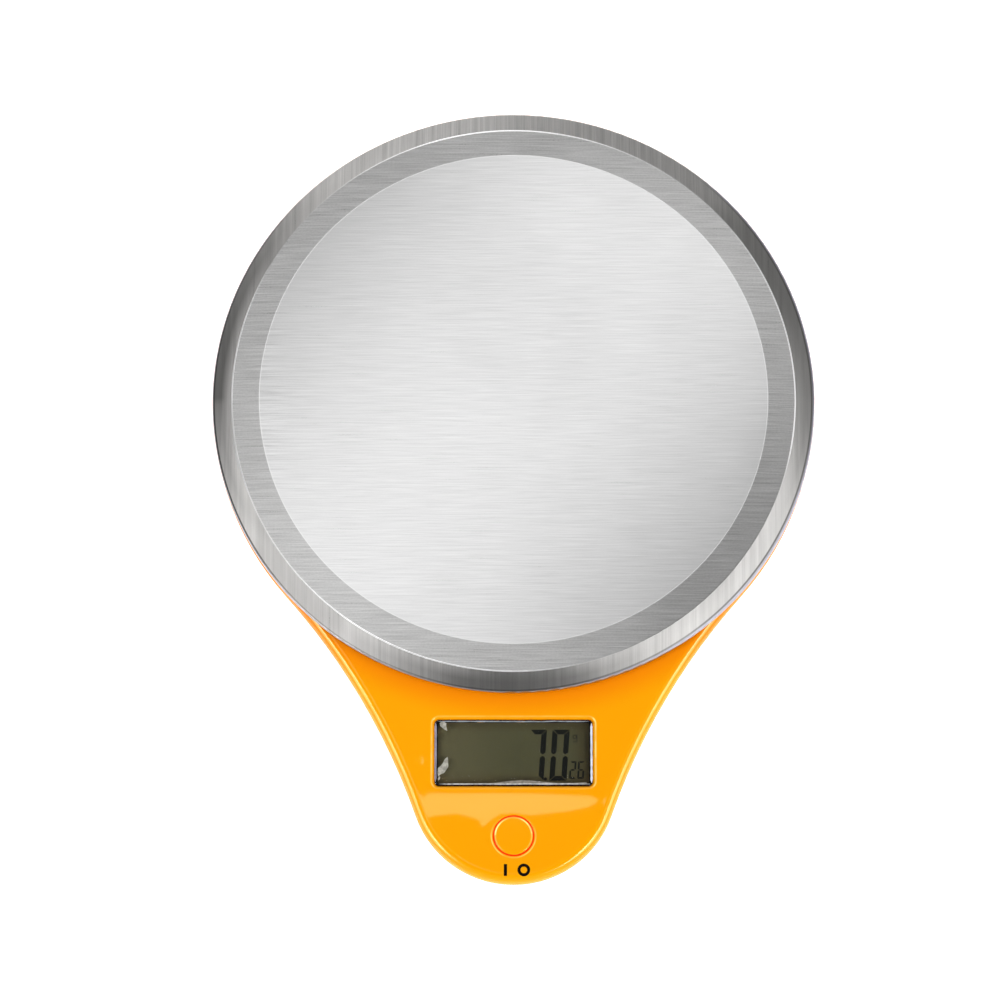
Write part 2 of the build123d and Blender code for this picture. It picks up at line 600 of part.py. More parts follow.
with BuildPart() as main_board:
    with BuildSketch(Plane.XY.offset(PCB_BOTTOM)):
        with Locations((0, -76.5)):
            RectangleRounded(52, 33, 3)
        with Locations((0, LOBE_Y)):
            Circle(22.5)
        with Locations((-23.0, PEG_Y), (23.0, PEG_Y)):
            Circle(0.9, mode=Mode.SUBTRACT)
        with Locations(*BOARD_SCREWS):
            Circle(1.2, mode=Mode.SUBTRACT)
    extrude(amount=PCB_T)

with BuildPart() as board_screws:
    screw_up(BOARD_SCREWS, PCB_BOTTOM, 2.0, 1.2, 0.9, 5.2)

with BuildPart() as switch_body:
    with BuildSketch(at(0, KEY_Y, PCB_TOP)):
        RectangleRounded(6.0, 6.0, 0.4)
    extrude(amount=2.7)
    with Locations((0, KEY_Y, PCB_TOP + 2.7)):
        Hole(1.76, depth=1.5)
    # four feet
    with Locations((3.4, KEY_Y - 2.2, PCB_TOP), (3.4, KEY_Y + 2.2, PCB_TOP), (-3.4, KEY_Y - 2.2, PCB_TOP), (-3.4, KEY_Y + 2.2, PCB_TOP)):
        Box(1.0, 0.7, 0.5, align=(Align.CENTER, Align.CENTER, Align.MIN))

with BuildPart() as chip_blob:
    with Locations((0, -82, PCB_BOTTOM)):
        Cylinder(6.0, 1.6, align=(Align.CENTER, Align.CENTER, Align.MAX))
    fillet(chip_blob.faces().sort_by(Axis.Z)[0].edges(), 1.3)
with BuildPart() as crystal:
    with BuildSketch(at(-14, -84, PCB_BOTTOM - 2.0)):
        SlotCenterToCenter(5, 3)
    extrude(amount=2.0)
    fillet(crystal.faces().sort_by(Axis.Z)[0].edges(), 0.4)
with BuildPart() as board_capacitor:
    with Locations((14, -84, PCB_BOTTOM)):
        Cylinder(2.5, 4.2, align=(Align.CENTER, Align.CENTER, Align.MAX))
    fillet(board_capacitor.faces().sort_by(Axis.Z)[0].edges(), 0.4)
with BuildPart() as amplifier_chip:
    with BuildSketch(at(0, -70, PCB_BOTTOM - 1.5)):
        Rectangle(9.9, 3.9)
    extrude(amount=1.5)
    with BuildSketch(at(0, -70, PCB_BOTTOM - 0.3)):
        with GridLocations(1.27, 5.0, 7, 2):
            Rectangle(0.4, 1.1)
    extrude(amount=0.3)
SMD = [(-9, -70), (-9, -73), (9, -70), (9, -73), (-9, -90), (-6, -93), (6, -93), (9, -90), (-19, -74), (19, -74), (-6, -76), (6, -76)]
with BuildPart() as chip_resistors:
    with BuildSketch(Plane.XY.offset(PCB_BOTTOM - 0.6)):
        with Locations(*SMD):
            Rectangle(2.0, 1.25)
    extrude(amount=0.6)
with BuildPart() as thermistor:
    with Locations((0, -97.5, PCB_BOTTOM - 1.6)):
        Sphere(1.2)
    with Locations((-0.6, -97.5, PCB_BOTTOM), (0.6, -97.5, PCB_BOTTOM)):
        Cylinder(0.22, 1.4, align=(Align.CENTER, Align.CENTER, Align.MAX))

# ======================================================================
# Key
# ======================================================================
PLUNGER_TOP = PCB_TOP + 2.7 + 0.7
with BuildPart() as button_cap:
    with Locations((0, KEY_Y, PLUNGER_TOP + 0.35)):
        Cylinder(KEY_R, KEY_TOP - PLUNGER_TOP - 0.35, align=(Align.CENTER, Align.CENTER, Align.MIN))
    fillet(button_cap.faces().sort_by(Axis.Z)[-1].edges(), 0.6)
    with Locations((0, KEY_Y, PLUNGER_TOP + 0.35)):
        Cylinder(KEY_FLANGE_R, DECK_UNDER - 0.3 - PLUNGER_TOP - 0.35, align=(Align.CENTER, Align.CENTER, Align.MIN))
    # hollow inside, with a centre post
    with Locations((0, KEY_Y, PLUNGER_TOP + 0.3)):
        Cylinder(KEY_R - 1.2, 2.4, align=(Align.CENTER, Align.CENTER, Align.MIN), mode=Mode.SUBTRACT)
    with Locations((0, KEY_Y, PLUNGER_TOP)):
        Cylinder(1.6, 3.0, align=(Align.CENTER, Align.CENTER, Align.MIN))

with BuildPart() as switch_plunger:
    with Locations((0, KEY_Y, PLUNGER_TOP)):
        Cylinder(1.7, 1.6, align=(Align.CENTER, Align.CENTER, Align.MAX))

# ======================================================================
# Leads, held on their whole run between the housing halves
# ======================================================================
LEAD_R = 0.4
LEAD_PITCH = 1.7


def lead(points, radius, label):
    """A round lead along straight runs joined by tangent arcs."""
    n = len(points)
    radii = []
    for i in range(1, n - 1):
        a = Vector(*points[i]) - Vector(*points[i - 1])
        b = Vector(*points[i + 1]) - Vector(*points[i])
        turn = math.radians(a.get_angle(b))
        radii.append(0.45 * min(a.length, b.length) / math.tan(turn / 2))
    with BuildPart() as made:
        with BuildLine() as path:
            FilletPolyline(*points, radius=radii)
        with BuildSketch(Plane(origin=path.line @ 0, z_dir=path.line % 0)) as section:
            Circle(radius)
        sweep(section.sketch, path=path.line)
    made_v = made.part.volume
    want = math.pi * radius * radius * sum(e.length for e in path.edges())
    print(label, "bend radii", [round(r, 1) for r in radii], "length", round(sum(e.length for e in path.edges()), 1), "volume ratio", round(made_v / want, 4))
    return made


LEADS = []
for i, colour in enumerate(("black", "white", "green", "red")):
    s = i * LEAD_PITCH
    x_side = CELL_W / 2 + COAT
    pts = [
        (x_side, 21.5 + s, 10.0),
        (15.5 + s, 21.5 + s, 10.0),
        (15.5 + s, 12.0, 7.6),
        (15.5 + s, 3.5, 6.6),
        (31.5 + s, -8.0, 6.4),
        (31.5 + s, -40.0, 6.4),
        (8.0 + s, -55.0, 8.6),
        (8.0 + s, -63.0, PCB_BOTTOM - LEAD_R - 0.05),
    ]
    LEADS.append((f"load_cell_lead_{colour}", lead(pts, LEAD_R, colour)))

BLEAD_R = 0.6
tab_x = -BOX_X - BOX_WALL - 2.2
pts = [
    (tab_x, BAT_YF, TAB_Z),
    (tab_x - 6.0, BAT_YF, TAB_Z),
    (tab_x - 6.5, -44.0, 11.0),
    (-14.0, -56.0, 8.9),
    (-14.0, -64.0, PCB_BOTTOM - BLEAD_R - 0.05),
]
LEADS.append(("battery_lead_black", lead(pts, BLEAD_R, "battery black")))
pts = [
    (tab_x, BAT_YR, TAB_Z),
    (tab_x - 9.0, BAT_YR, TAB_Z),
    (tab_x - 9.5, -46.0, 11.0),
    (-16.6, -58.5, 8.9),
    (-16.6, -66.5, PCB_BOTTOM - BLEAD_R - 0.05),
]
LEADS.append(("battery_lead_red", lead(pts, BLEAD_R, "battery red")))

# ======================================================================
for name, made in (
    ("platform_pan", platform_pan),
    ("pan_tape", pan_tape),
    ("platform_carrier", platform_carrier),
    ("carrier_spacer", carrier_spacer),
    ("carrier_screws", carrier_screws),
    ("load_cell", load_cell),
    ("strain_gauge_coating", strain_gauge_coating),
    ("load_cell_shim", load_cell_shim),
    ("load_cell_screws", load_cell_screws),
    ("upper_shell", upper_shell),
    ("lower_shell", lower_shell),
    ("housing_screws", housing_screws),
    ("rubber_feet", rubber_feet),
    ("battery_door", battery_door),
    ("battery_front", battery_front),
    ("battery_rear", battery_rear),
    ("battery_terminal_minus", battery_terminal_minus),
    ("battery_terminal_plus", battery_terminal_plus),
    ("battery_bridge_contact", battery_bridge_contact),
    ("display_window", display_window),
    ("lcd_glass", lcd_glass),
    ("lcd_polarizer", lcd_polarizer),
    ("lcd_reflector", lcd_reflector),
    ("zebra_strip", zebra_strip),
    ("lcd_holder", lcd_holder),
    ("main_board", main_board),
    ("board_screws", board_screws),
    ("switch_body", switch_body),
    ("chip_blob", chip_blob),
    ("crystal", crystal),
    ("board_capacitor", board_capacitor),
    ("amplifier_chip", amplifier_chip),
    ("chip_resistors", chip_resistors),
    ("thermistor", thermistor),
    ("button_cap", button_cap),
    ("switch_plunger", switch_plunger),
    *LEADS,
):
    save(made, name)
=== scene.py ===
import math

import bmesh
import bpy
from mathutils import Matrix, Vector, noise


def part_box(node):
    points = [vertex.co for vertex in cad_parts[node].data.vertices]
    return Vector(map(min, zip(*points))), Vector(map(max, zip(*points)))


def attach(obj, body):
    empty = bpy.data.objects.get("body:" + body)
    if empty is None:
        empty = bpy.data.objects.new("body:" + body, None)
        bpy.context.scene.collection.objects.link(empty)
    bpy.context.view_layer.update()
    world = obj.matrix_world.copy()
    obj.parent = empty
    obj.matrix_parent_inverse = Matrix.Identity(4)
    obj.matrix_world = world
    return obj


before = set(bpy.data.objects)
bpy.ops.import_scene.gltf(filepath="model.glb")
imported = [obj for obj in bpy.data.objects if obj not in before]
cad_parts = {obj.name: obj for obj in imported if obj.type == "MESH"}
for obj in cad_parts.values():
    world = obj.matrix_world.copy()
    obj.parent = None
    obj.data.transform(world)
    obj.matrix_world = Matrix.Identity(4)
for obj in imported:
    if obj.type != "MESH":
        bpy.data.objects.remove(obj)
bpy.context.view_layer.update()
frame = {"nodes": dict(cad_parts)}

NODES = frame["nodes"]
MM = 0.001

scene = bpy.context.scene
scene.view_settings.view_transform = "Standard"
scene.view_settings.look = "None"
scene.view_settings.exposure = 0.0
scene.view_settings.gamma = 1.0


# ======================================================================
# Camera: above the object and a little in front of it, a long way back
# ======================================================================
def make_camera():
    focal = 4.2                                  # focal length over frame width
    elevation = math.radians(73.58)
    distance = 1.2554
    target = Vector((0.0, 0.028, 0.0212))
    back = Vector((0, -math.cos(elevation), math.sin(elevation)))
    pos = target + back * distance
    fwd = -back
    right = fwd.cross(Vector((0, 0, 1))).normalized()
    up = right.cross(fwd)
    aim = Vector((13.53 / 4200.0, 101.78 / 4200.0, 1.0)).normalized()
    turn = Vector((0, 0, 1)).rotation_difference(aim).to_matrix()
    basis = Matrix((right, up, fwd))
    rows = turn @ basis
    x_axis, y_axis, z_axis = rows[0], rows[1], -rows[2]
    data = bpy.data.cameras.new("camera")
    data.sensor_width = 36.0
    data.lens = focal * 36.0
    data.clip_start, data.clip_end = 0.05, 50.0
    cam = bpy.data.objects.new("camera", data)
    scene.collection.objects.link(cam)
    cam.matrix_world = Matrix(
        (
            (x_axis[0], y_axis[0], z_axis[0], pos[0]),
            (x_axis[1], y_axis[1], z_axis[1], pos[1]),
            (x_axis[2], y_axis[2], z_axis[2], pos[2]),
            (0, 0, 0, 1),
        )
    )
    scene.camera = cam


make_camera()


# ======================================================================
# Node helpers
# ======================================================================
class Tree:
    def __init__(self, nt):
        self.nt = nt

    def node(self, kind, props=None, ins=None):
        x = self.nt.nodes.new(kind)
        for k, v in (props or {}).items():
            setattr(x, k, v)
        for k, v in (ins or {}).items():
            s = x.inputs[k]
            if isinstance(v, bpy.types.NodeSocket):
                self.nt.links.new(v, s)
            else:
                s.default_value = v
        return x

    def math(self, op, a, b=None, c=None, clamp=False):
        x = self.nt.nodes.new("ShaderNodeMath")
        x.operation = op
        x.use_clamp = clamp
        for i, v in enumerate((a, b, c)):
            if v is None:
                continue
            if isinstance(v, bpy.types.NodeSocket):
                self.nt.links.new(v, x.inputs[i])
            else:
                x.inputs[i].default_value = v
        return x.outputs[0]

    def ramp(self, value, a, b, lo, hi, smooth=True):
        x = self.nt.nodes.new("ShaderNodeMapRange")
        x.interpolation_type = "SMOOTHSTEP" if smooth else "LINEAR"
        x.clamp = True
        self.nt.links.new(value, x.inputs["Value"])
        for k, v in (("From Min", a), ("From Max", b), ("To Min", lo), ("To Max", hi)):
            x.inputs[k].default_value = v
        return x.outputs["Result"]

    def vec(self, op, a, b=None):
        x = self.nt.nodes.new("ShaderNodeVectorMath")
        x.operation = op
        for i, v in enumerate((a, b)):
            if v is None:
                continue
            if isinstance(v, bpy.types.NodeSocket):
                self.nt.links.new(v, x.inputs[i])
            else:
                x.inputs[i].default_value = v
        return x.outputs["Value"] if op in ("LENGTH", "DOT_PRODUCT", "DISTANCE") else x.outputs["Vector"]

    def mix(self, fac, a, b, kind="RGBA", blend="MIX"):
        x = self.nt.nodes.new("ShaderNodeMix")
        x.data_type = kind
        if kind == "RGBA":
            x.blend_type = blend
        names = {"RGBA": ("A_Color", "B_Color"), "VECTOR": ("A_Vector", "B_Vector"), "FLOAT": ("A_Float", "B_Float")}[kind]
        fac_id = "Factor_Float"
        for ident, v in ((fac_id, fac), (names[0], a), (names[1], b)):
            s = next(q for q in x.inputs if q.identifier == ident)
            if isinstance(v, bpy.types.NodeSocket):
                self.nt.links.new(v, s)
            elif kind == "RGBA" and ident != fac_id:
                s.default_value = (*v[:3], 1.0)
            else:
                s.default_value = v
        out = {"RGBA": "Result_Color", "VECTOR": "Result_Vector", "FLOAT": "Result_Float"}[kind]
        return next(q for q in x.outputs if q.identifier == out)

    def noise(self, vector, scale=1.0, detail=2.0, rough=0.5, distortion=0.0):
        x = self.nt.nodes.new("ShaderNodeTexNoise")
        self.nt.links.new(vector, x.inputs["Vector"])
        x.inputs["Scale"].default_value = scale
        x.inputs["Detail"].default_value = detail
        x.inputs["Roughness"].default_value = rough
        x.inputs["Distortion"].default_value = distortion
        return x.outputs["Fac"]

    def stretched(self, vector, sx, sy, sz):
        return self.vec("MULTIPLY", vector, (sx, sy, sz))

    def bump(self, height, distance, strength=1.0, normal=None):
        x = self.nt.nodes.new("ShaderNodeBump")
        x.inputs["Strength"].default_value = strength
        x.inputs["Distance"].default_value = distance
        self.nt.links.new(height, x.inputs["Height"])
        if normal is not None:
            self.nt.links.new(normal, x.inputs["Normal"])
        return x.outputs["Normal"]

    def xyz(self, vector):
        x = self.nt.nodes.new("ShaderNodeSeparateXYZ")
        self.nt.links.new(vector, x.inputs[0])
        return x.outputs

    def join(self, x_, y_, z_):
        x = self.nt.nodes.new("ShaderNodeCombineXYZ")
        for i, v in enumerate((x_, y_, z_)):
            if isinstance(v, bpy.types.NodeSocket):
                self.nt.links.new(v, x.inputs[i])
            else:
                x.inputs[i].default_value = v
        return x.outputs[0]


def material(name):
    m = bpy.data.materials.new(name)
    m.use_nodes = True
    nt = m.node_tree
    nt.nodes.clear()
    out = nt.nodes.new("ShaderNodeOutputMaterial")
    p = nt.nodes.new("ShaderNodeBsdfPrincipled")
    nt.links.new(p.outputs[0], out.inputs["Surface"])
    t = Tree(nt)
    where = nt.nodes.new("ShaderNodeTexCoord").outputs["Object"]
    return m, t, p, where, out


def setp(p, **kw):
    names = {
        "base": "Base Color", "metal": "Metallic", "rough": "Roughness", "ior": "IOR", "spec": "Specular IOR Level",
        "tint": "Specular Tint", "aniso": "Anisotropic", "trans": "Transmission Weight", "coat": "Coat Weight",
        "coat_rough": "Coat Roughness", "normal": "Normal", "tangent": "Tangent", "alpha": "Alpha", "sss": "Subsurface Weight",
        "sss_scale": "Subsurface Scale", "sss_radius": "Subsurface Radius",
    }
    for k, v in kw.items():
        s = p.inputs[names[k]]
        if isinstance(v, bpy.types.NodeSocket):
            p.id_data.links.new(v, s)
        else:
            s.default_value = v


# ======================================================================
# Studio: pale floor, soft boxes to the left, right and behind, one overhead
# ======================================================================
# Lights lie on the plane one unit above the object, at (u, w) = (x / z, y / z) of their direction.
# Soft round pools of light: u, w, level; together they make the big boxes.
POOL_R = 0.30
POOLS = [
    (-1.2, -0.9, 5.43), (-1.2, -0.7, 6.47), (-1.2, -0.5, 7.02), (-1.2, -0.3, 6.58),
    (-1.2, -0.1, 5.69), (-1.0, -0.9, 5.77), (-1.0, -0.7, 6.77), (-1.0, -0.5, 6.86),
    (-1.0, -0.3, 2.74), (-0.8, -0.5, 2.71), (-0.4, 1.1, 4.1), (-0.4, 1.9, 1.85),
    (-0.2, 0.1, 1.54), (-0.0, -0.1, 0.17), (-0.0, 0.3, 2.57), (-0.0, 1.9, 2.54),
    (0.2, 0.5, 0.82), (0.6, -0.9, 5.09), (0.6, 0.1, 1.14), (0.8, -0.9, 7.98),
    (0.8, -0.7, 8.34), (0.8, -0.5, 4.71), (1.0, -0.9, 7.63), (1.0, -0.7, 8.85),
    (1.0, -0.5, 8.43), (1.2, -0.9, 6.35), (1.2, -0.7, 7.42), (1.2, -0.5, 7.95),
    (1.2, -0.3, 8.06), (1.2, -0.1, 6.46),
]
ROOM_LOW, ROOM_HIGH = 0.58, 0.00
EYE_Y, EYE_UP = -0.32687, 1.2069              # where the deck's reflections are taken from
# a small card overhead with a torn lower edge, seen as a pale band across the front panel: millimetres on the deck
BAND_TOP = [(-31.7, -90.79), (-29.39, -90.91), (-26.9, -91.97), (-26.25, -93.04), (-25.44, -91.77), (-24.19, -91.35), (-3.95, -91.55), (12.7, -91.76), (22.74, -92.26), (24.63, -93.21)]
BAND_LOW = [(-31.65, -98.35), (-27.68, -98.52), (-26.22, -98.76), (-22.7, -98.02), (-16.48, -97.48), (-12.28, -98.52), (-9.77, -99.38), (-9.36, -101.27), (-8.51, -101.15), (-6.45, -99.38), (-4.35, -97.69), (0.23, -97.39), (4.4, -97.89), (6.85, -97.8), (11.9, -97.03), (16.89, -96.62), (22.32, -95.34), (24.37, -94.04), (24.63, -93.27)]
BAND_LEVEL = 3.7


def soft_rect(t, u, w, u0, w0, a, b, eu, ew):
    du = t.math("ABSOLUTE", t.math("SUBTRACT", u, u0))
    dw = t.math("ABSOLUTE", t.math("SUBTRACT", w, w0))
    return t.math("MULTIPLY", t.ramp(du, a - eu, a + eu, 1, 0), t.ramp(dw, b - ew, b + ew, 1, 0))


def curve(t, x, points, x0, x1, y0, y1, handle="VECTOR"):
    """A drawn line y(x) through the points, scaled to the 0..1 square and back."""
    n = t.nt.nodes.new("ShaderNodeFloatCurve")
    c = n.mapping.curves[0]
    pts = [((px - x0) / (x1 - x0), (py - y0) / (y1 - y0)) for px, py in points]
    for k in (0, 1):
        c.points[k].location = pts[0] if k == 0 else pts[-1]
    for p in pts[1:-1]:
        c.points.new(*p)
    for p in c.points:
        p.handle_type = handle
    n.mapping.update()
    t.nt.links.new(t.math("DIVIDE", t.math("SUBTRACT", x, x0), x1 - x0), n.inputs["Value"])
    return t.math("ADD", t.math("MULTIPLY", n.outputs[0], y1 - y0), y0)


def make_world():
    world = bpy.data.worlds.new("studio")
    scene.world = world
    world.use_nodes = True
    nt = world.node_tree
    nt.nodes.clear()
    t = Tree(nt)
    out = nt.nodes.new("ShaderNodeOutputWorld")
    direction = nt.nodes.new("ShaderNodeTexCoord").outputs["Generated"]
    direction = t.vec("NORMALIZE", direction)
    x, y, z = t.xyz(direction)
    zc = t.math("MAXIMUM", z, 0.05)
    u = t.math("DIVIDE", x, zc)
    w = t.math("DIVIDE", y, zc)
    up = t.ramp(z, 0.05, 0.12, 0, 1)
    spot = t.join(u, w, 0.0)
    pools = None
    for pu, pw, level in POOLS:
        pool = t.ramp(t.vec("DISTANCE", spot, (pu, pw, 0.0)), 0.0, POOL_R, level, 0.0)
        pools = pool if pools is None else t.math("ADD", pools, pool)
    # the dark opening the camera looks out of, mirrored by the front panel and the window
    opening = soft_rect(t, u, w, 0.0, 0.20, 0.075, 0.05, 0.02, 0.02)
    total = t.math("ADD", t.math("MULTIPLY", pools, up), t.ramp(z, 0.25, 0.97, ROOM_LOW, ROOM_HIGH))
    total = t.math("MULTIPLY", total, 1.075)
    total = t.math("MULTIPLY", total, t.math("SUBTRACT", 1.0, t.math("MULTIPLY", opening, 0.97)))
    # the band card
    px = t.math("MULTIPLY", u, EYE_UP * 1000.0)
    py = t.math("ADD", t.math("MULTIPLY", w, EYE_UP * 1000.0), EYE_Y * 1000.0)
    x0, x1 = BAND_TOP[0][0], BAND_TOP[-1][0]
    soft = 0.10
    above = curve(t, px, BAND_TOP, x0, x1, -104.0, -90.0)
    below = curve(t, px, BAND_LOW, x0, x1, -104.0, -90.0)
    inside = t.math("MULTIPLY", t.ramp(t.math("SUBTRACT", above, py), -soft, soft, 0, 1), t.ramp(t.math("SUBTRACT", py, below), -soft, soft, 0, 1))
    inside = t.math("MULTIPLY", inside, t.ramp(px, x0, x0 + 0.2, 0, 1))
    inside = t.math("MULTIPLY", inside, t.ramp(px, x1 - 0.2, x1, 1, 0))
    total = t.math("ADD", total, t.math("MULTIPLY", t.math("MULTIPLY", inside, up), BAND_LEVEL))
    # two scraps of the same card
    for sx, sy, a, b, level, lean in SCRAPS:
        qx = t.math("SUBTRACT", px, t.math("ADD", sx, t.math("MULTIPLY", t.math("SUBTRACT", py, sy), lean)))
        d = t.math("ADD", t.math("DIVIDE", t.math("ABSOLUTE", qx), a), t.math("DIVIDE", t.math("ABSOLUTE", t.math("SUBTRACT", py, sy)), b))
        total = t.math("ADD", total, t.math("MULTIPLY", t.math("MULTIPLY", t.ramp(d, 0.75, 1.15, 1, 0), up), level))
    bg = t.node("ShaderNodeBackground", None, {"Color": t.join(total, total, total), "Strength": 1.0})
    seen = t.node("ShaderNodeBackground", None, {"Color": (1, 1, 1, 1), "Strength": 1.0})
    path = nt.nodes.new("ShaderNodeLightPath")
    mix = t.node("ShaderNodeMixShader", None, {0: path.outputs["Is Camera Ray"], 1: bg.outputs[0], 2: seen.outputs[0]})
    nt.links.new(mix.outputs[0], out.inputs["Surface"])


# middle x and y, half width, half height, level, lean
SCRAPS = [
    (27.1, -94.2, 1.15, 1.5, BAND_LEVEL, -0.35),
    (-26.70, -81.71, 0.30, 1.65, 8.5, -0.12),
    (-32.73, -68.41, 0.16, 0.22, 9.0, 0.3),
    (-30.83, -67.51, 0.14, 0.14, 7.0, 0.0),
    (-29.79, -69.91, 0.13, 0.26, 7.0, 0.5),
]


def make_studio():
    make_world()
    # floor
    me = bpy.data.meshes.new("floor")
    bm = bmesh.new()
    bmesh.ops.create_circle(bm, cap_ends=True, cap_tris=False, segments=96, radius=6.0)
    bm.to_mesh(me)
    bm.free()
    floor = bpy.data.objects.new("floor", me)
    scene.collection.objects.link(floor)
    m, t, p, where, out = material("pale_floor")
    spots = t.noise(where, 3.0, 3.0, 0.5)
    setp(p, base=t.mix(t.ramp(spots, 0.3, 0.7, 0, 1), (0.93, 0.93, 0.93), (0.945, 0.945, 0.945)), rough=0.9, spec=0.1)
    p.inputs["Emission Color"].default_value = (1, 1, 1, 1)
    p.inputs["Emission Strength"].default_value = 0.65
    # one-sided, so that the object's underside can be looked at from below
    behind = t.node("ShaderNodeNewGeometry").outputs["Backfacing"]
    clear = t.node("ShaderNodeBsdfTransparent")
    both = t.node("ShaderNodeMixShader", None, {0: behind, 1: p.outputs[0], 2: clear.outputs[0]})
    t.nt.links.new(both.outputs[0], out.inputs["Surface"])
    me.materials.append(m)


make_studio()


# ======================================================================
# Materials
# ======================================================================
# Painted light and shade round the pan, by bearing in degrees from +X
RING_PAINTED_LIGHT = [(-180, 1.07), (-168, 0.99), (-156, 0.96), (-144, 0.97), (-132, 0.95), (-120, 0.96), (-108, 0.97), (-96, 1.03), (-84, 1.1), (-72, 1.09), (-60, 1.0), (-48, 0.9), (-36, 0.94), (-24, 0.94), (-12, 1.03), (0, 1.09), (12, 1.09), (24, 1.06), (36, 1.06), (48, 0.99), (60, 0.95), (72, 0.91), (84, 0.88), (96, 0.98), (108, 0.96), (120, 0.98), (132, 1.06), (144, 1.09), (156, 1.1), (168, 1.08), (180, 1.07)]
SKIRT_INNER_PAINTED_LIGHT = [(-180, 1.8), (-168, 1.8), (-156, 1.3), (-144, 0.91), (-132, 0.9), (-120, 1.4), (-108, 1.43), (-96, 0.88), (-84, 0.66), (-72, 1.09), (-60, 1.01), (-48, 0.87), (-36, 1.0), (-24, 1.18), (-12, 1.27), (0, 1.24), (12, 0.96), (24, 0.66), (36, 0.63), (48, 0.91), (60, 0.97), (72, 0.93), (84, 0.79), (96, 0.87), (108, 0.95), (120, 0.98), (132, 0.87), (144, 0.93), (156, 1.19), (168, 1.51), (180, 1.8)]
SKIRT_MIDDLE_PAINTED_LIGHT = [(-180, 0.64), (-168, 1.2), (-156, 1.24), (-144, 0.89), (-132, 0.85), (-120, 1.26), (-108, 1.09), (-96, 0.61), (-84, 0.52), (-72, 0.89), (-60, 1.0), (-48, 0.92), (-36, 1.04), (-24, 1.09), (-12, 0.97), (0, 0.95), (12, 0.79), (24, 0.62), (36, 0.62), (48, 0.93), (60, 0.95), (72, 0.9), (84, 0.8), (96, 0.87), (108, 0.95), (120, 0.95), (132, 0.89), (144, 0.82), (156, 0.72), (168, 0.68), (180, 0.64)]
CREASE_PAINTED_HIGHLIGHT = [(-180, 0.35), (-156, 0.2), (-132, 0.3), (-120, 0.45), (-108, 0.4), (-96, 0.4), (-84, 0.25), (-72, 0.1), (-60, 0.03), (-24, 0.03), (-12, 0.35), (0, 0.5), (12, 0.4), (24, 0.35), (36, 0.2), (48, 0.1), (60, 0.15), (72, 0.3), (84, 0.5), (96, 0.6), (108, 0.4), (120, 0.15), (132, 0.05), (144, 0.03), (156, 0.2), (168, 0.35), (180, 0.35)]
BEND_SHADE = [(-180, 0.7), (-156, 0.85), (-132, 0.5), (-108, 0.4), (-84, 0.5), (-60, 0.5), (-36, 0.7), (-12, 0.6), (12, 0.5), (36, 0.4), (48, 0.2), (60, 0.0), (132, 0.0), (144, 0.3), (168, 0.55), (180, 0.7)]


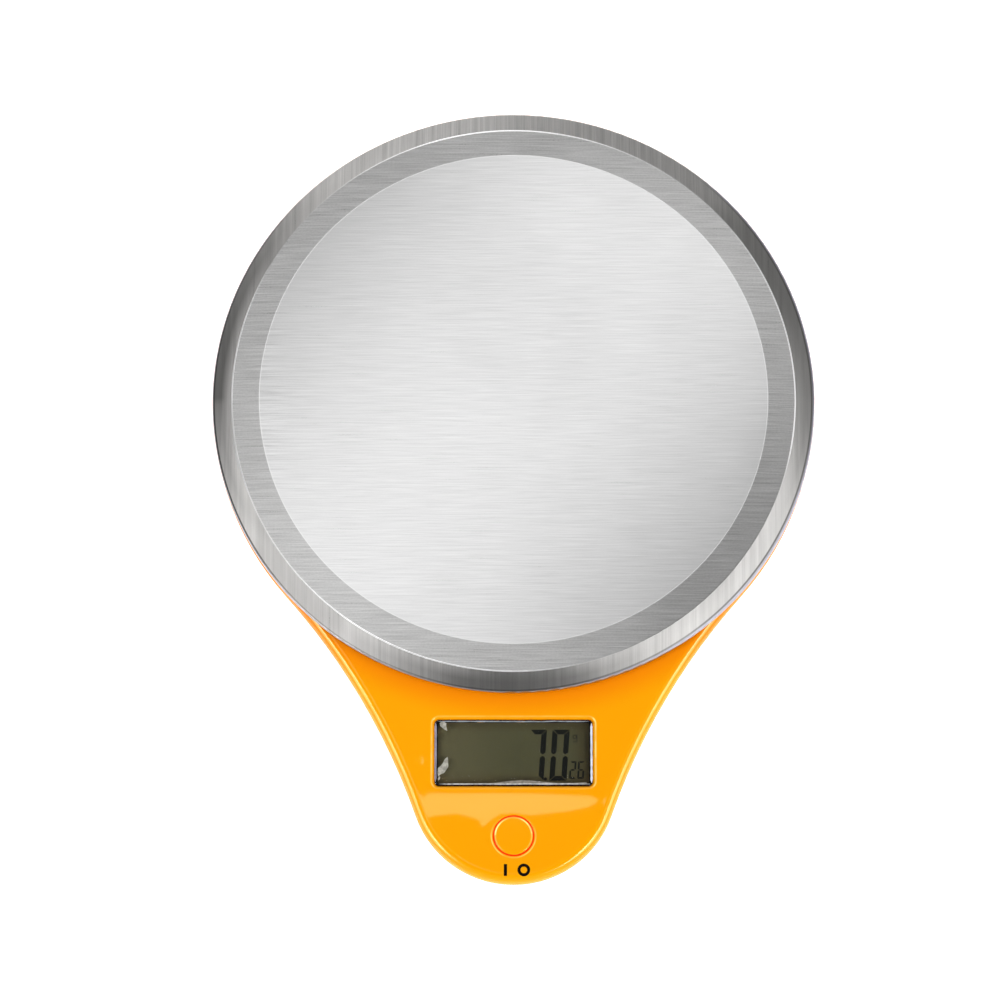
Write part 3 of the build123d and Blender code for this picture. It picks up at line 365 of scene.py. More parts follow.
def brushed_steel():
    """Stainless sheet brushed along X on its face and drawn along Y on its skirt, with painted light and shade on the
    face, rim and skirt, painted highlights on the crease and on the step round the flat, and a rolled lip with painted
    shade in its bend and a painted reflection on its edge.
    """
    m, t, p, where, out = material("brushed_steel_finish")
    rel = t.vec("MULTIPLY", t.vec("SUBTRACT", where, (0.0, 0.028, 0.0)), (1, 1, 0))
    radius = t.vec("LENGTH", rel)
    skirt = t.ramp(radius, 0.08392, 0.08408, 0, 1)
    ring = t.math("MULTIPLY", t.ramp(radius, 0.07582, 0.07592, 0, 1), t.math("SUBTRACT", 1.0, skirt))
    x, y, z = t.xyz(where)
    rx, ry = t.math("DIVIDE", x, 0.076), t.math("DIVIDE", t.math("SUBTRACT", y, 0.028), 0.076)
    # brushing across the face
    drift = t.math("MULTIPLY", t.math("SUBTRACT", t.noise(t.stretched(where, 12, 45, 0), 1, 2, 0.5), 0.5), 0.0012)
    y2 = t.math("ADD", y, drift)
    line_at = t.join(x, y2, 0.0)
    fine = t.noise(t.stretched(line_at, 74, 3500, 1), 1, 2, 0.6)
    mid = t.noise(t.stretched(line_at, 36, 1500, 1), 1, 2, 0.55)
    wide = t.noise(t.stretched(line_at, 10, 220, 1), 1, 2, 0.5)
    across = t.math("ADD", t.math("MULTIPLY", fine, 0.61), t.math("ADD", t.math("MULTIPLY", mid, 0.34), t.math("MULTIPLY", wide, 0.05)))
    # drawing lines down the skirt
    d_fine = t.noise(t.stretched(where, 2300, 30, 0), 1, 3, 0.62)
    d_mid = t.noise(t.stretched(where, 800, 16, 0), 1, 2, 0.55)
    down = t.math("ADD", t.math("MULTIPLY", d_fine, 0.5), t.math("MULTIPLY", d_mid, 0.5))
    grain = t.mix(skirt, across, down, "FLOAT")
    # pale and dark scratches about the sheet's own grey, deeper where a stroke starts
    start = t.ramp(t.math("ADD", rx, t.math("MULTIPLY", t.math("MULTIPLY", ry, ry), 0.5)), -1.0, -0.78, 1.0, 0.0)
    speck = t.noise(t.stretched(where, 1500, 2100, 0), 1, 3, 0.6)
    grain = t.math("ADD", grain, t.math("MULTIPLY", t.mix(ring, 0.10, 0.26, "FLOAT"), t.math("SUBTRACT", speck, 0.5)))
    top_end = t.ramp(ry, 0.4, 1.1, 0.75, 1.35)
    amp = t.mix(skirt, t.mix(ring, t.math("ADD", 0.82, t.math("MULTIPLY", start, 0.9)), 1.40, "FLOAT"), top_end, "FLOAT")
    shade = t.math("ADD", 1.0, t.math("MULTIPLY", amp, t.math("SUBTRACT", grain, 0.5)))
    # painted light and shade on the flat face: paler along one diagonal, duller along the other
    painted_face_light = t.math("ADD", t.math("MULTIPLY", t.math("MULTIPLY", rx, ry), 0.364), 1.062)
    painted_face_light = t.math("SUBTRACT", painted_face_light, t.math("MULTIPLY", t.math("MULTIPLY", rx, rx), 0.235))
    painted_face_light = t.math("SUBTRACT", painted_face_light, t.math("MULTIPLY", t.math("MULTIPLY", ry, ry), 0.132))
    painted_face_light = t.math("SUBTRACT", painted_face_light, t.math("MULTIPLY", t.math("ADD", rx, ry), 0.017))
    outside = t.math("MAXIMUM", ring, skirt)
    shade = t.math("MULTIPLY", shade, t.mix(outside, painted_face_light, 1.0, "FLOAT"))
    cx, cy, cz = t.xyz(rel)
    bearing = t.math("MULTIPLY", t.math("ARCTAN2", cy, cx), 180.0 / math.pi)
    # painted light and shade round the rim and the skirt, by bearing, with its own tables for the skirt's inner and
    # middle parts
    ring_painted_light = curve(t, bearing, RING_PAINTED_LIGHT, -180.0, 180.0, 0.0, 2.0, "AUTO")
    inner_painted_light = curve(t, bearing, SKIRT_INNER_PAINTED_LIGHT, -180.0, 180.0, 0.0, 2.0, "AUTO")
    middle_painted_light = curve(t, bearing, SKIRT_MIDDLE_PAINTED_LIGHT, -180.0, 180.0, 0.0, 2.0, "AUTO")
    skirt_painted_light = t.mix(t.ramp(radius, 0.0848, 0.0872, 0.0, 1.0, smooth=False), inner_painted_light, middle_painted_light, "FLOAT")
    shade = t.math("MULTIPLY", shade, t.mix(ring, 1.0, ring_painted_light, "FLOAT"))
    shade = t.math("MULTIPLY", shade, t.mix(skirt, 1.0, skirt_painted_light, "FLOAT"))
    sheet = t.mix(skirt, t.mix(ring, (0.652, 0.652, 0.652), (0.570, 0.568, 0.564)), (0.553, 0.543, 0.531))
    colour = t.vec("MULTIPLY", sheet, t.join(shade, shade, shade))
    # painted highlights: white on the polished crease between rim and skirt, by bearing, and pale on the hairline step
    # round the flat
    crease = t.math("SUBTRACT", 1.0, t.ramp(t.math("ABSOLUTE", t.math("SUBTRACT", radius, 0.08402)), 0.00012, 0.00026, 0, 1))
    painted_hairline_highlight = t.math("SUBTRACT", 1.0, t.ramp(t.math("ABSOLUTE", t.math("SUBTRACT", radius, 0.07588)), 0.00008, 0.00020, 0, 1))
    painted_highlight = t.math("MULTIPLY", crease, curve(t, bearing, CREASE_PAINTED_HIGHLIGHT, -180.0, 180.0, 0.0, 1.0, "AUTO"))
    colour = t.mix(t.math("MINIMUM", t.math("MULTIPLY", painted_highlight, 2.0), 1.0), colour, (1.0, 1.0, 1.0))
    colour = t.mix(t.math("MULTIPLY", painted_hairline_highlight, 0.55), colour, (0.92, 0.92, 0.92))
    # rolled lip: painted shade in a dark bend, then a painted reflection on the pale edge beyond it, wider to the right
    right = t.ramp(x, -0.015, 0.045, 0.0, 1.0)
    bend_r = t.math("SUBTRACT", 0.08952, t.math("MULTIPLY", right, 0.00047))
    from_bend = t.math("SUBTRACT", radius, bend_r)
    bend = t.math("SUBTRACT", 1.0, t.ramp(t.math("ABSOLUTE", from_bend), 0.00016, 0.00034, 0, 1))
    shaded = curve(t, bearing, BEND_SHADE, -180.0, 180.0, 0.0, 1.0, "AUTO")
    lip = t.math("MULTIPLY", t.ramp(from_bend, 0.0002, 0.00034, 0, 1), t.ramp(shaded, 0.05, 0.3, 0.0, 1.0))
    colour = t.mix(lip, colour, (0.46, 0.455, 0.52))
    colour = t.mix(t.math("MULTIPLY", bend, t.math("MULTIPLY", shaded, 1.1)), colour, (0.075, 0.072, 0.07))
    rough = t.math("ADD", 0.29, t.math("MULTIPLY", 0.10, t.math("SUBTRACT", grain, 0.5)))
    smudge = t.noise(where, 22, 3, 0.5)
    rough = t.math("ADD", rough, t.ramp(smudge, 0.45, 0.75, 0.0, 0.015))
    tangent = t.mix(skirt, (0.0, 1.0, 0.0), (1.0, 0.0, 0.0), "VECTOR")
    height = t.mix(skirt, t.math("ADD", t.math("MULTIPLY", fine, 0.6), t.math("MULTIPLY", mid, 0.6)), t.math("MULTIPLY", down, 0.7), "FLOAT")
    setp(p, base=colour, metal=1.0, rough=rough, aniso=0.45, tangent=tangent, normal=t.bump(height, 1.2e-6))
    # painted highlight, made to glow: the burnished crease is a mirror a tenth of a millimetre wide, too thin for the
    # shading to catch the lamps by itself
    p.inputs["Emission Color"].default_value = (1, 1, 1, 1)
    t.nt.links.new(painted_highlight, p.inputs["Emission Strength"])
    return m


# painted highlights on the small rounded edges round the key, by bearing: inside the gap, and outside it; and along the
# deck's rounded side edges, by the bearing they face
KEY_PAINTED_HIGHLIGHT = [(-180, .10), (-150, .05), (-120, .0), (-60, .0), (-30, .05), (0, .15), (20, .45), (60, .30), (80, .12), (100, .12), (120, .35), (160, .50), (180, .10)]
SIDE_PAINTED_HIGHLIGHT = [(-180, .35), (-165, .85), (-150, .95), (-135, .35), (-122, .05), (-105, .0), (-75, .0), (-58, .04), (-45, .35), (-30, .95), (-12, .80), (0, .35), (15, .15), (40, .05), (140, .05), (165, .15), (180, .35)]
HOLE_PAINTED_HIGHLIGHT = [(-180, .20), (-140, .22), (-100, .08), (-60, .16), (-30, .22), (0, .18), (40, .02), (140, .02), (165, .10), (180, .20)]


def gloss_plastic(name, base, rough=0.012, spec=0.50, tint=(1.0, 0.95, 0.5), wave=1.0e-6, wave_scale=55.0):
    """Moulded gloss plastic: faint waviness of the tool, very fine orange peel, small marks in the gloss; with painted
    shade beside the pan, a painted red glow in the gap round the key, and painted highlights on finely rounded edges.
    """
    m, t, p, where, out = material(name)
    low = t.noise(where, wave_scale, 1.0, 0.4)
    mid = t.noise(where, wave_scale * 4.0, 2.0, 0.5)
    h = t.math("ADD", low, t.math("MULTIPLY", mid, 0.05))
    tone = t.noise(where, 30.0, 3.0, 0.55)
    dark = tuple(c * 0.975 for c in base)
    marks = t.noise(where, 900.0, 4.0, 0.6)
    r = t.ramp(marks, 0.66, 0.8, rough, rough + 0.08)
    x, y, z = t.xyz(where)
    colour = t.mix(t.ramp(tone, 0.3, 0.7, 0, 1), base, dark)
    # painted shade: deeper orange beside the pan, where the plastic is lit mostly by its own colour
    from_pan = t.vec("LENGTH", t.vec("SUBTRACT", t.join(x, y, 0.0), (0.0, 0.028, 0.0)))
    painted_shade_orange = (base[0] * 0.99, base[1] * 0.70, base[2])
    colour = t.mix(t.ramp(from_pan, 0.0895, 0.0995, 1.0, 0.0), colour, painted_shade_orange)
    # painted light: the walls and lips of the narrow gap round the key are painted red, and the inside of the gap made
    # to glow, standing in for light carried through the plastic
    kx, ky = x, t.math("SUBTRACT", y, -0.104)
    from_key = t.vec("LENGTH", t.join(kx, ky, 0.0))
    bearing = t.math("MULTIPLY", t.math("ARCTAN2", ky, kx), 180.0 / math.pi)
    beside = t.math("ABSOLUTE", t.math("SUBTRACT", from_key, 0.00585))
    red = t.ramp(beside, 0.00018, 0.00026, 1, 0)
    colour = t.mix(red, colour, (0.80, 0.055, 0.004))
    setp(p, base=colour, rough=r, spec=spec, tint=(*tint, 1), normal=t.bump(h, wave))
    # painted glow inside the gap round the key
    gap = t.math("MULTIPLY", t.ramp(beside, 0.00018, 0.00030, 1, 0), t.ramp(z, 0.0176, 0.0183, 1, 0))
    glow = t.mix(gap, (0.0, 0.0, 0.0), (0.50, 0.014, 0.002))
    # painted highlights, made to glow, on edges rounded too finely for the shading to show: round the key and round the
    # window's recess
    inner = t.math("MULTIPLY", t.ramp(t.math("ABSOLUTE", t.math("SUBTRACT", from_key, 0.00530)), 0.00010, 0.00030, 2.0, 0), curve(t, bearing, KEY_PAINTED_HIGHLIGHT, -180.0, 180.0, 0.0, 1.0, "AUTO"))
    outer = t.math("MULTIPLY", t.ramp(t.math("ABSOLUTE", t.math("SUBTRACT", from_key, 0.00650)), 0.00006, 0.00026, 1.8, 0), curve(t, bearing, HOLE_PAINTED_HIGHLIGHT, -180.0, 180.0, 0.0, 1.0, "AUTO"))
    qx = t.math("SUBTRACT", t.math("ABSOLUTE", x), 0.0232 - 0.0013)
    yy = t.math("SUBTRACT", y, -0.0792)
    qy = t.math("SUBTRACT", t.math("ABSOLUTE", yy), 0.0099 - 0.0013)
    out_x, out_y = t.math("MAXIMUM", qx, 0.0), t.math("MAXIMUM", qy, 0.0)
    away = t.math("SUBTRACT", t.vec("LENGTH", t.join(out_x, out_y, 0.0)), 0.0013)
    side = t.ramp(t.math("SUBTRACT", qx, qy), -0.0009, 0.0007, 0.0, 1.0)
    long_side = t.mix(t.ramp(yy, -0.002, 0.002, 0, 1), 0.05, 0.12, "FLOAT")
    short_side = t.mix(t.ramp(x, -0.002, 0.002, 0, 1), 0.30, 0.46, "FLOAT")
    rim = t.math("MULTIPLY", t.ramp(t.math("ABSOLUTE", t.math("SUBTRACT", away, 0.00085)), 0.00010, 0.00030, 1, 0), t.mix(side, long_side, short_side, "FLOAT"))
    uneven = t.ramp(t.noise(where, 260.0, 2.0, 0.5), 0.3, 0.65, 0.55, 1.15)
    painted_highlight = t.math("MULTIPLY", t.math("MULTIPLY", t.math("ADD", rim, t.math("ADD", inner, outer)), uneven), t.ramp(z, 0.0172, 0.0176, 0, 1))
    # painted highlight, made to glow: the line of light along the rounded edge of the deck, on the sides
    nx, ny, nz = t.xyz(t.node("ShaderNodeNewGeometry").outputs["Normal"])
    faces = t.math("MULTIPLY", t.math("ARCTAN2", ny, nx), 180.0 / math.pi)
    line = t.math("MULTIPLY", t.math("MULTIPLY", t.ramp(nz, 0.73, 0.80, 0, 1), t.ramp(nz, 0.87, 0.92, 1, 0)), curve(t, faces, SIDE_PAINTED_HIGHLIGHT, -180.0, 180.0, 0.0, 1.0, "AUTO"))
    line = t.math("MULTIPLY", t.math("MULTIPLY", line, t.ramp(z, 0.0152, 0.0158, 0, 1)), t.ramp(from_key, 0.0075, 0.0085, 0, 1))
    line = t.math("MULTIPLY", line, t.ramp(t.math("MAXIMUM", qx, qy), 0.0030, 0.0040, 0, 1))
    line = t.math("MULTIPLY", line, t.ramp(t.noise(where, 60.0, 2.0, 0.5), 0.3, 0.65, 0.7, 1.05))
    painted_highlight = t.math("ADD", painted_highlight, t.math("MULTIPLY", line, 0.46))
    lit = t.vec("MULTIPLY", (0.35, 0.78, 0.36), t.join(painted_highlight, painted_highlight, painted_highlight))
    t.nt.links.new(t.vec("ADD", glow, lit), p.inputs["Emission Color"])
    p.inputs["Emission Strength"].default_value = 1.0
    return m


def textured_plastic(name, base, rough=0.42, spec=0.4, grain=1800.0, depth=1.2e-5, var=0.05, tint=(1, 1, 1)):
    """Moulded plastic with a fine spark-eroded grain."""
    m, t, p, where, out = material(name)
    g = t.noise(where, grain, 3.0, 0.6)
    tone = t.noise(where, 40.0, 3.0, 0.55)
    dark = tuple(c * (1 - var) for c in base)
    r = t.math("ADD", rough - 0.04, t.math("MULTIPLY", g, 0.10))
    setp(p, base=t.mix(t.ramp(tone, 0.3, 0.7, 0, 1), base, dark), rough=r, spec=spec, tint=(*tint, 1), normal=t.bump(g, depth))
    return m


def turned_metal(name, base, rough=0.3, scale=(600, 600, 600), depth=4e-6, aniso=0.0, var=0.12):
    m, t, p, where, out = material(name)
    g = t.noise(t.stretched(where, *scale), 1, 3, 0.6)
    tone = t.noise(where, 160.0, 3.0, 0.5)
    dark = tuple(c * (1 - var) for c in base)
    r = t.math("ADD", rough - 0.05, t.math("MULTIPLY", g, 0.12))
    setp(p, base=t.mix(t.ramp(tone, 0.3, 0.7, 0, 1), base, dark), metal=1.0, rough=r, aniso=aniso, normal=t.bump(g, depth))
    return m


def clear_plastic():
    """Clear acrylic with hairline scuffs. Light from lamps passes straight through."""
    m, t, p, where, out = material("clear_acrylic")
    scuff = t.noise(t.stretched(where, 60, 900, 60), 1, 3, 0.6)
    setp(p, base=(0.97, 0.975, 0.97, 1), trans=1.0, ior=1.49, rough=t.ramp(scuff, 0.66, 0.8, 0.012, 0.07))
    clear = t.node("ShaderNodeBsdfTransparent", None, {"Color": (0.93, 0.93, 0.92, 1)})
    path = t.nt.nodes.new("ShaderNodeLightPath")
    mix = t.node("ShaderNodeMixShader", None, {0: path.outputs["Is Shadow Ray"], 1: p.outputs[0], 2: clear.outputs[0]})
    t.nt.links.new(mix.outputs[0], out.inputs["Surface"])
    return m


def lcd_face():
    """Olive grey liquid-crystal face: greenish at the upper left, browner low down, darker by its edges, finely mottled."""
    m, t, p, where, out = material("lcd_face")
    x, y, z = t.xyz(where)
    left = t.ramp(x, -0.023, 0.002, 1.0, 0.0)
    edge = t.math("MAXIMUM", t.ramp(x, 0.0150, 0.0232, 0.0, 1.0), t.ramp(x, -0.0228, -0.0200, 0.8, 0.0))
    low = t.ramp(y, -0.0890, -0.0830, 1.0, 0.0)
    high = t.ramp(y, -0.0735, -0.0700, 0.0, 1.0)
    mottle = t.noise(where, 130.0, 3.0, 0.6)
    fine = t.noise(where, 2600.0, 2.0, 0.6)
    c = t.mix(left, LCD_MID, LCD_LEFT)
    c = t.mix(t.math("MULTIPLY", edge, 0.75), c, LCD_DARK)
    c = t.mix(t.math("MULTIPLY", low, 0.45), c, LCD_LOW)
    c = t.mix(t.math("MULTIPLY", high, 0.45), c, LCD_DARK)
    c = t.mix(t.ramp(mottle, 0.35, 0.7, 0.0, 0.16), c, tuple(v * 1.35 for v in LCD_MID))
    c = t.mix(t.ramp(fine, 0.3, 0.75, 0.0, 0.12), c, tuple(v * 0.6 for v in LCD_MID))
    setp(p, base=c, rough=0.5, spec=0.04, normal=t.bump(fine, 1.0e-6))
    return m


LCD_MID = (0.060, 0.058, 0.029)
LCD_LEFT = (0.088, 0.080, 0.042)
LCD_DARK = (0.028, 0.019, 0.006)
LCD_LOW = (0.068, 0.047, 0.017)


def ink(name, base, rough=0.4, spec=0.3):
    m, t, p, where, out = material(name)
    g = t.noise(where, 3000.0, 3.0, 0.6)
    pale = tuple(min(1.0, c * 1.6 + 0.004) for c in base)
    setp(p, base=t.mix(t.ramp(g, 0.45, 0.8, 0, 1), base, pale), rough=t.ramp(g, 0.2, 0.8, rough - 0.08, rough + 0.08), spec=spec)
    return m


def rubber(name, base):
    m, t, p, where, out = material(name)
    g = t.noise(where, 1400.0, 4.0, 0.65)
    dust = t.noise(where, 180.0, 3.0, 0.6)
    pale = tuple(min(1.0, c * 1.25 + 0.01) for c in base)
    setp(p, base=t.mix(t.ramp(dust, 0.45, 0.75, 0, 1), base, pale), rough=t.ramp(g, 0.2, 0.8, 0.62, 0.85), spec=0.3, normal=t.bump(g, 2.5e-5))
    return m


def foam(name, base):
    m, t, p, where, out = material(name)
    v = t.node("ShaderNodeTexVoronoi", {"feature": "F1"}, {"Vector": where, "Scale": 1500.0})
    cell = v.outputs["Distance"]
    dark = tuple(c * 0.6 for c in base)
    setp(p, base=t.mix(t.ramp(cell, 0.1, 0.6, 1, 0), base, dark), rough=0.9, spec=0.2, normal=t.bump(cell, 1.2e-4))
    return m


def board():
    """Solder-masked board: green lacquer over faint copper runs."""
    m, t, p, where, out = material("board_lacquer")
    x, y, z = t.xyz(where)
    step = t.noise(where, 90.0, 0.0, 0.0)
    run = t.math("PINGPONG", t.math("ADD", t.math("MULTIPLY", x, 620.0), t.math("MULTIPLY", t.math("ROUND", t.math("MULTIPLY", step, 9.0)), 0.37)), 1.0)
    line = t.ramp(run, 0.36, 0.44, 0.0, 1.0)
    area_ = t.ramp(t.noise(where, 55.0, 1.0, 0.3), 0.47, 0.50, 0.0, 1.0)
    copper = t.math("MULTIPLY", line, area_)
    c = t.mix(copper, (0.010, 0.095, 0.028), (0.022, 0.170, 0.045))
    grain = t.noise(where, 2200.0, 2.0, 0.5)
    c = t.mix(t.ramp(grain, 0.3, 0.8, 0.0, 0.3), c, (0.006, 0.06, 0.02))
    setp(p, base=c, rough=t.ramp(grain, 0.2, 0.8, 0.22, 0.34), spec=0.5, normal=t.bump(t.math("ADD", t.math("MULTIPLY", copper, 1.0), t.math("MULTIPLY", grain, 0.1)), 2.0e-5))
    return m


def battery(name, x0, x1):
    """Shrink-wrapped dry cell with a metallic band at its plus end: plain colours, no marks. x0 is the flat end."""
    m, t, p, where, out = material(name)
    x, y, z = t.xyz(where)
    along = t.math("DIVIDE", t.math("SUBTRACT", x, x0), x1 - x0)
    band = t.ramp(along, 0.715, 0.72, 0, 1)
    tip = t.ramp(along, 0.9705, 0.9715, 0, 1)
    foot = t.ramp(along, 0.006, 0.0075, 1, 0)
    scuff = t.noise(t.stretched(where, 60, 900, 900), 1, 3, 0.6)
    c = t.mix(t.ramp(scuff, 0.6, 0.8, 0, 0.4), (0.012, 0.013, 0.016), (0.05, 0.05, 0.055))
    c = t.mix(band, c, t.mix(t.ramp(scuff, 0.3, 0.8, 0, 1), (0.62, 0.33, 0.12), (0.50, 0.26, 0.09)))
    bare = t.math("MAXIMUM", tip, foot)
    c = t.mix(bare, c, (0.68, 0.67, 0.65))
    setp(p, base=c, metal=t.math("MAXIMUM", t.math("MULTIPLY", band, 0.85), bare), rough=t.ramp(scuff, 0.3, 0.8, 0.24, 0.36), spec=0.5, normal=t.bump(scuff, 4e-6))
    return m


ORANGE = (0.985, 0.374, 0.0012)
MATERIALS = {
    "platform_pan": brushed_steel(),
    "upper_shell": gloss_plastic("orange_gloss", ORANGE),
    "button_cap": gloss_plastic("orange_key_gloss", ORANGE, rough=0.02, wave=1.0e-6, wave_scale=240.0),
    "lower_shell": textured_plastic("orange_grained", (0.93, 0.335, 0.004), tint=(1.0, 0.95, 0.6)),
    "battery_door": textured_plastic("orange_door_grained", (0.935, 0.34, 0.004), rough=0.38, tint=(1.0, 0.95, 0.6)),
    "display_window": clear_plastic(),
    "lcd_polarizer": lcd_face(),
}
plain = {
    "rubber_feet": rubber("foot_rubber", (0.58, 0.57, 0.55)),
    "pan_tape": foam("tape_foam", (0.82, 0.82, 0.80)),
    "zebra_strip": rubber("zebra_rubber", (0.035, 0.035, 0.04)),
    "strain_gauge_coating": rubber("silicone_coat", (0.72, 0.74, 0.72)),
    "platform_carrier": textured_plastic("carrier_plastic", (0.22, 0.22, 0.225), rough=0.5),
    "lcd_holder": textured_plastic("holder_plastic", (0.78, 0.78, 0.76), rough=0.45),
    "switch_body": textured_plastic("switch_plastic", (0.02, 0.02, 0.022), rough=0.45),
    "switch_plunger": textured_plastic("plunger_plastic", (0.03, 0.03, 0.032), rough=0.35),
    "chip_blob": rubber("blob_epoxy", (0.012, 0.012, 0.013)),
    "thermistor": rubber("bead_epoxy", (0.02, 0.018, 0.015)),
    "amplifier_chip": textured_plastic("chip_plastic", (0.022, 0.022, 0.024), rough=0.5),
    "chip_resistors": textured_plastic("resistor_body", (0.03, 0.03, 0.035), rough=0.35),
    "load_cell": turned_metal("cell_aluminium_milled", (0.78, 0.785, 0.79), 0.34, (40, 900, 900), 4e-6),
    "load_cell_shim": turned_metal("shim_steel", (0.60, 0.60, 0.59), 0.34),
    "carrier_spacer": turned_metal("spacer_steel", (0.60, 0.60, 0.59), 0.34),
    "housing_screws": turned_metal("zinc_screw", (0.66, 0.66, 0.63), 0.28),
    "battery_terminal_minus": turned_metal("nickel_minus", (0.72, 0.70, 0.66), 0.24),
    "battery_terminal_plus": turned_metal("nickel_plus", (0.72, 0.70, 0.66), 0.24),
    "battery_bridge_contact": turned_metal("nickel_bridge", (0.72, 0.70, 0.66), 0.24),
    "crystal": turned_metal("can_metal_finish", (0.70, 0.70, 0.69), 0.2),
    "board_capacitor": textured_plastic("cap_sleeve_finish", (0.03, 0.06, 0.16), rough=0.3),
    "lcd_reflector": turned_metal("reflector_foil", (0.70, 0.71, 0.70), 0.45),
    "main_board": board(),
    "battery_front": battery("battery_front_wrap", -0.0214, 0.0231),
    "battery_rear": battery("battery_rear_wrap", 0.0214, -0.0231),
    "load_cell_lead_black": textured_plastic("lead_black_pvc", (0.015, 0.015, 0.016), rough=0.35),
    "load_cell_lead_white": textured_plastic("lead_white_pvc", (0.80, 0.80, 0.78), rough=0.35),
    "load_cell_lead_green": textured_plastic("lead_green_pvc", (0.02, 0.25, 0.06), rough=0.35),
    "load_cell_lead_red": textured_plastic("lead_red_pvc", (0.55, 0.02, 0.015), rough=0.35),
}
MATERIALS.update(plain)
MATERIALS["battery_lead_black"] = MATERIALS["load_cell_lead_black"]
MATERIALS["battery_lead_red"] = MATERIALS["load_cell_lead_red"]
for n_ in ("board_screws", "carrier_screws", "load_cell_screws"):
    MATERIALS[n_] = MATERIALS["housing_screws"]


def lcd_glass_material():
    m, t, p, where, out = material("lcd_cell_glass")
    g = t.noise(where, 500.0, 2.0, 0.5)
    setp(p, base=(0.72, 0.78, 0.74, 1), trans=0.85, ior=1.52, rough=t.ramp(g, 0.3, 0.8, 0.02, 0.05))
    return m


MATERIALS["lcd_glass"] = lcd_glass_material()

for n_, o in NODES.items():
    if n_ not in MATERIALS:
        raise RuntimeError("no finish for " + n_)
    if o.material_slots:
        for s in o.material_slots:
            s.material = MATERIALS[n_]
    else:
        o.data.materials.append(MATERIALS[n_])


# ======================================================================
# Pieces made here
# ======================================================================
def solid_from(name, outlines, z_of, thick, mat, body, grid=None):
    """Thin raised print: closed outlines in the XY plane, laid on a surface z_of(x, y) and thick high.
    An outline may be (outer, inner) for a ring."""
    me = bpy.data.meshes.new(name)
    bm = bmesh.new()
    for shape in outlines:
        if isinstance(shape, tuple):
            outer, inner = shape
            ring_o = [bm.verts.new((x, y, 0)) for x, y in outer]
            ring_i = [bm.verts.new((x, y, 0)) for x, y in inner]
            n = len(outer)
            for i in range(n):
                j = (i + 1) % n
                bm.faces.new((ring_o[i], ring_o[j], ring_i[j], ring_i[i]))
        else:
            bm.faces.new([bm.verts.new((x, y, 0)) for x, y in shape])
    bm.normal_update()
    for f in bm.faces:
        if f.normal.z < 0:
            f.normal_flip()
    if grid:
        for axis in (0, 1):
            lo = min(v.co[axis] for v in bm.verts)
            hi = max(v.co[axis] for v in bm.verts)
            k = int((hi - lo) / grid)
            for i in range(1, k + 1):
                c = lo + i * grid
                co, no = [0, 0, 0], [0, 0, 0]
                co[axis], no[axis] = c, 1
                bmesh.ops.bisect_plane(bm, geom=bm.verts[:] + bm.edges[:] + bm.faces[:], plane_co=co, plane_no=no)
    top = bm.faces[:]
    made = bmesh.ops.extrude_face_region(bm, geom=top)
    raised = {v for v in made["geom"] if isinstance(v, bmesh.types.BMVert)}
    for v in bm.verts:
        base = z_of(v.co.x, v.co.y)
        v.co.z = base + (thick if v in raised else 0.0)
    bmesh.ops.recalc_face_normals(bm, faces=bm.faces[:])
    bm.to_mesh(me)
    bm.free()
    o = bpy.data.objects.new(name, me)
    scene.collection.objects.link(o)
    me.materials.append(mat)
    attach(o, body)
    return o


lens_lo, lens_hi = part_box("display_window")
face_lo, face_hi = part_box("lcd_polarizer")
LENS_CX, LENS_CY = (lens_lo.x + lens_hi.x) / 2, (lens_lo.y + lens_hi.y) / 2
FACE_Z = face_hi.z


def segment_shapes(w, h, t, th, on, g=0.09, gm=0.30, tap=0.55):
    """Seven-segment character: mitred corners with hairline gaps, tapered ends at mid height. Millimetres."""
    hm = h / 2
    shapes = {
        "a": [(g + 0.25, h), (w - g, h), (w - t - g, h - th), (t + g, h - th)],
        "d": [(t + g, th), (w - t - g, th), (w - g, 0), (g, 0)],
        "b": [(w, h - g), (w - t, h - th - g), (w - t, hm + gm + tap), (w - t * 0.62, hm + gm), (w - t * 0.38, hm + gm), (w, hm + gm + tap)],
        "c": [(w, g), (w, hm - gm - tap), (w - t * 0.38, hm - gm), (w - t * 0.62, hm - gm), (w - t, hm - gm - tap), (w - t, th + g)],
        "f": [(0, h - g), (0, hm + gm + tap), (t * 0.38, hm + gm), (t * 0.62, hm + gm), (t, hm + gm + tap), (t, h - th - g)],
        "e": [(0, g), (t, th + g), (t, hm - gm - tap), (t * 0.62, hm - gm), (t * 0.38, hm - gm), (0, hm - gm - tap)],
        "g": [(t * 0.55, hm), (t + 0.15, hm + th / 2), (w - t - 0.15, hm + th / 2), (w - t * 0.55, hm), (w - t - 0.15, hm - th / 2), (t + 0.15, hm - th / 2)],
    }
    return [shapes[c] for c in on]


def place(shapes, x0, y0, slant=0.068):
    """Moves a character's shapes to its corner, measured in millimetres from the window's middle, leaning slightly."""
    return [[(LENS_CX + (x0 + x + slant * y) * MM, LENS_CY + (y0 + y) * MM) for x, y in s] for s in shapes]


def here(points):
    """Millimetres from the window's middle to metres."""
    return [(LENS_CX + x * MM, LENS_CY + y * MM) for x, y in points]


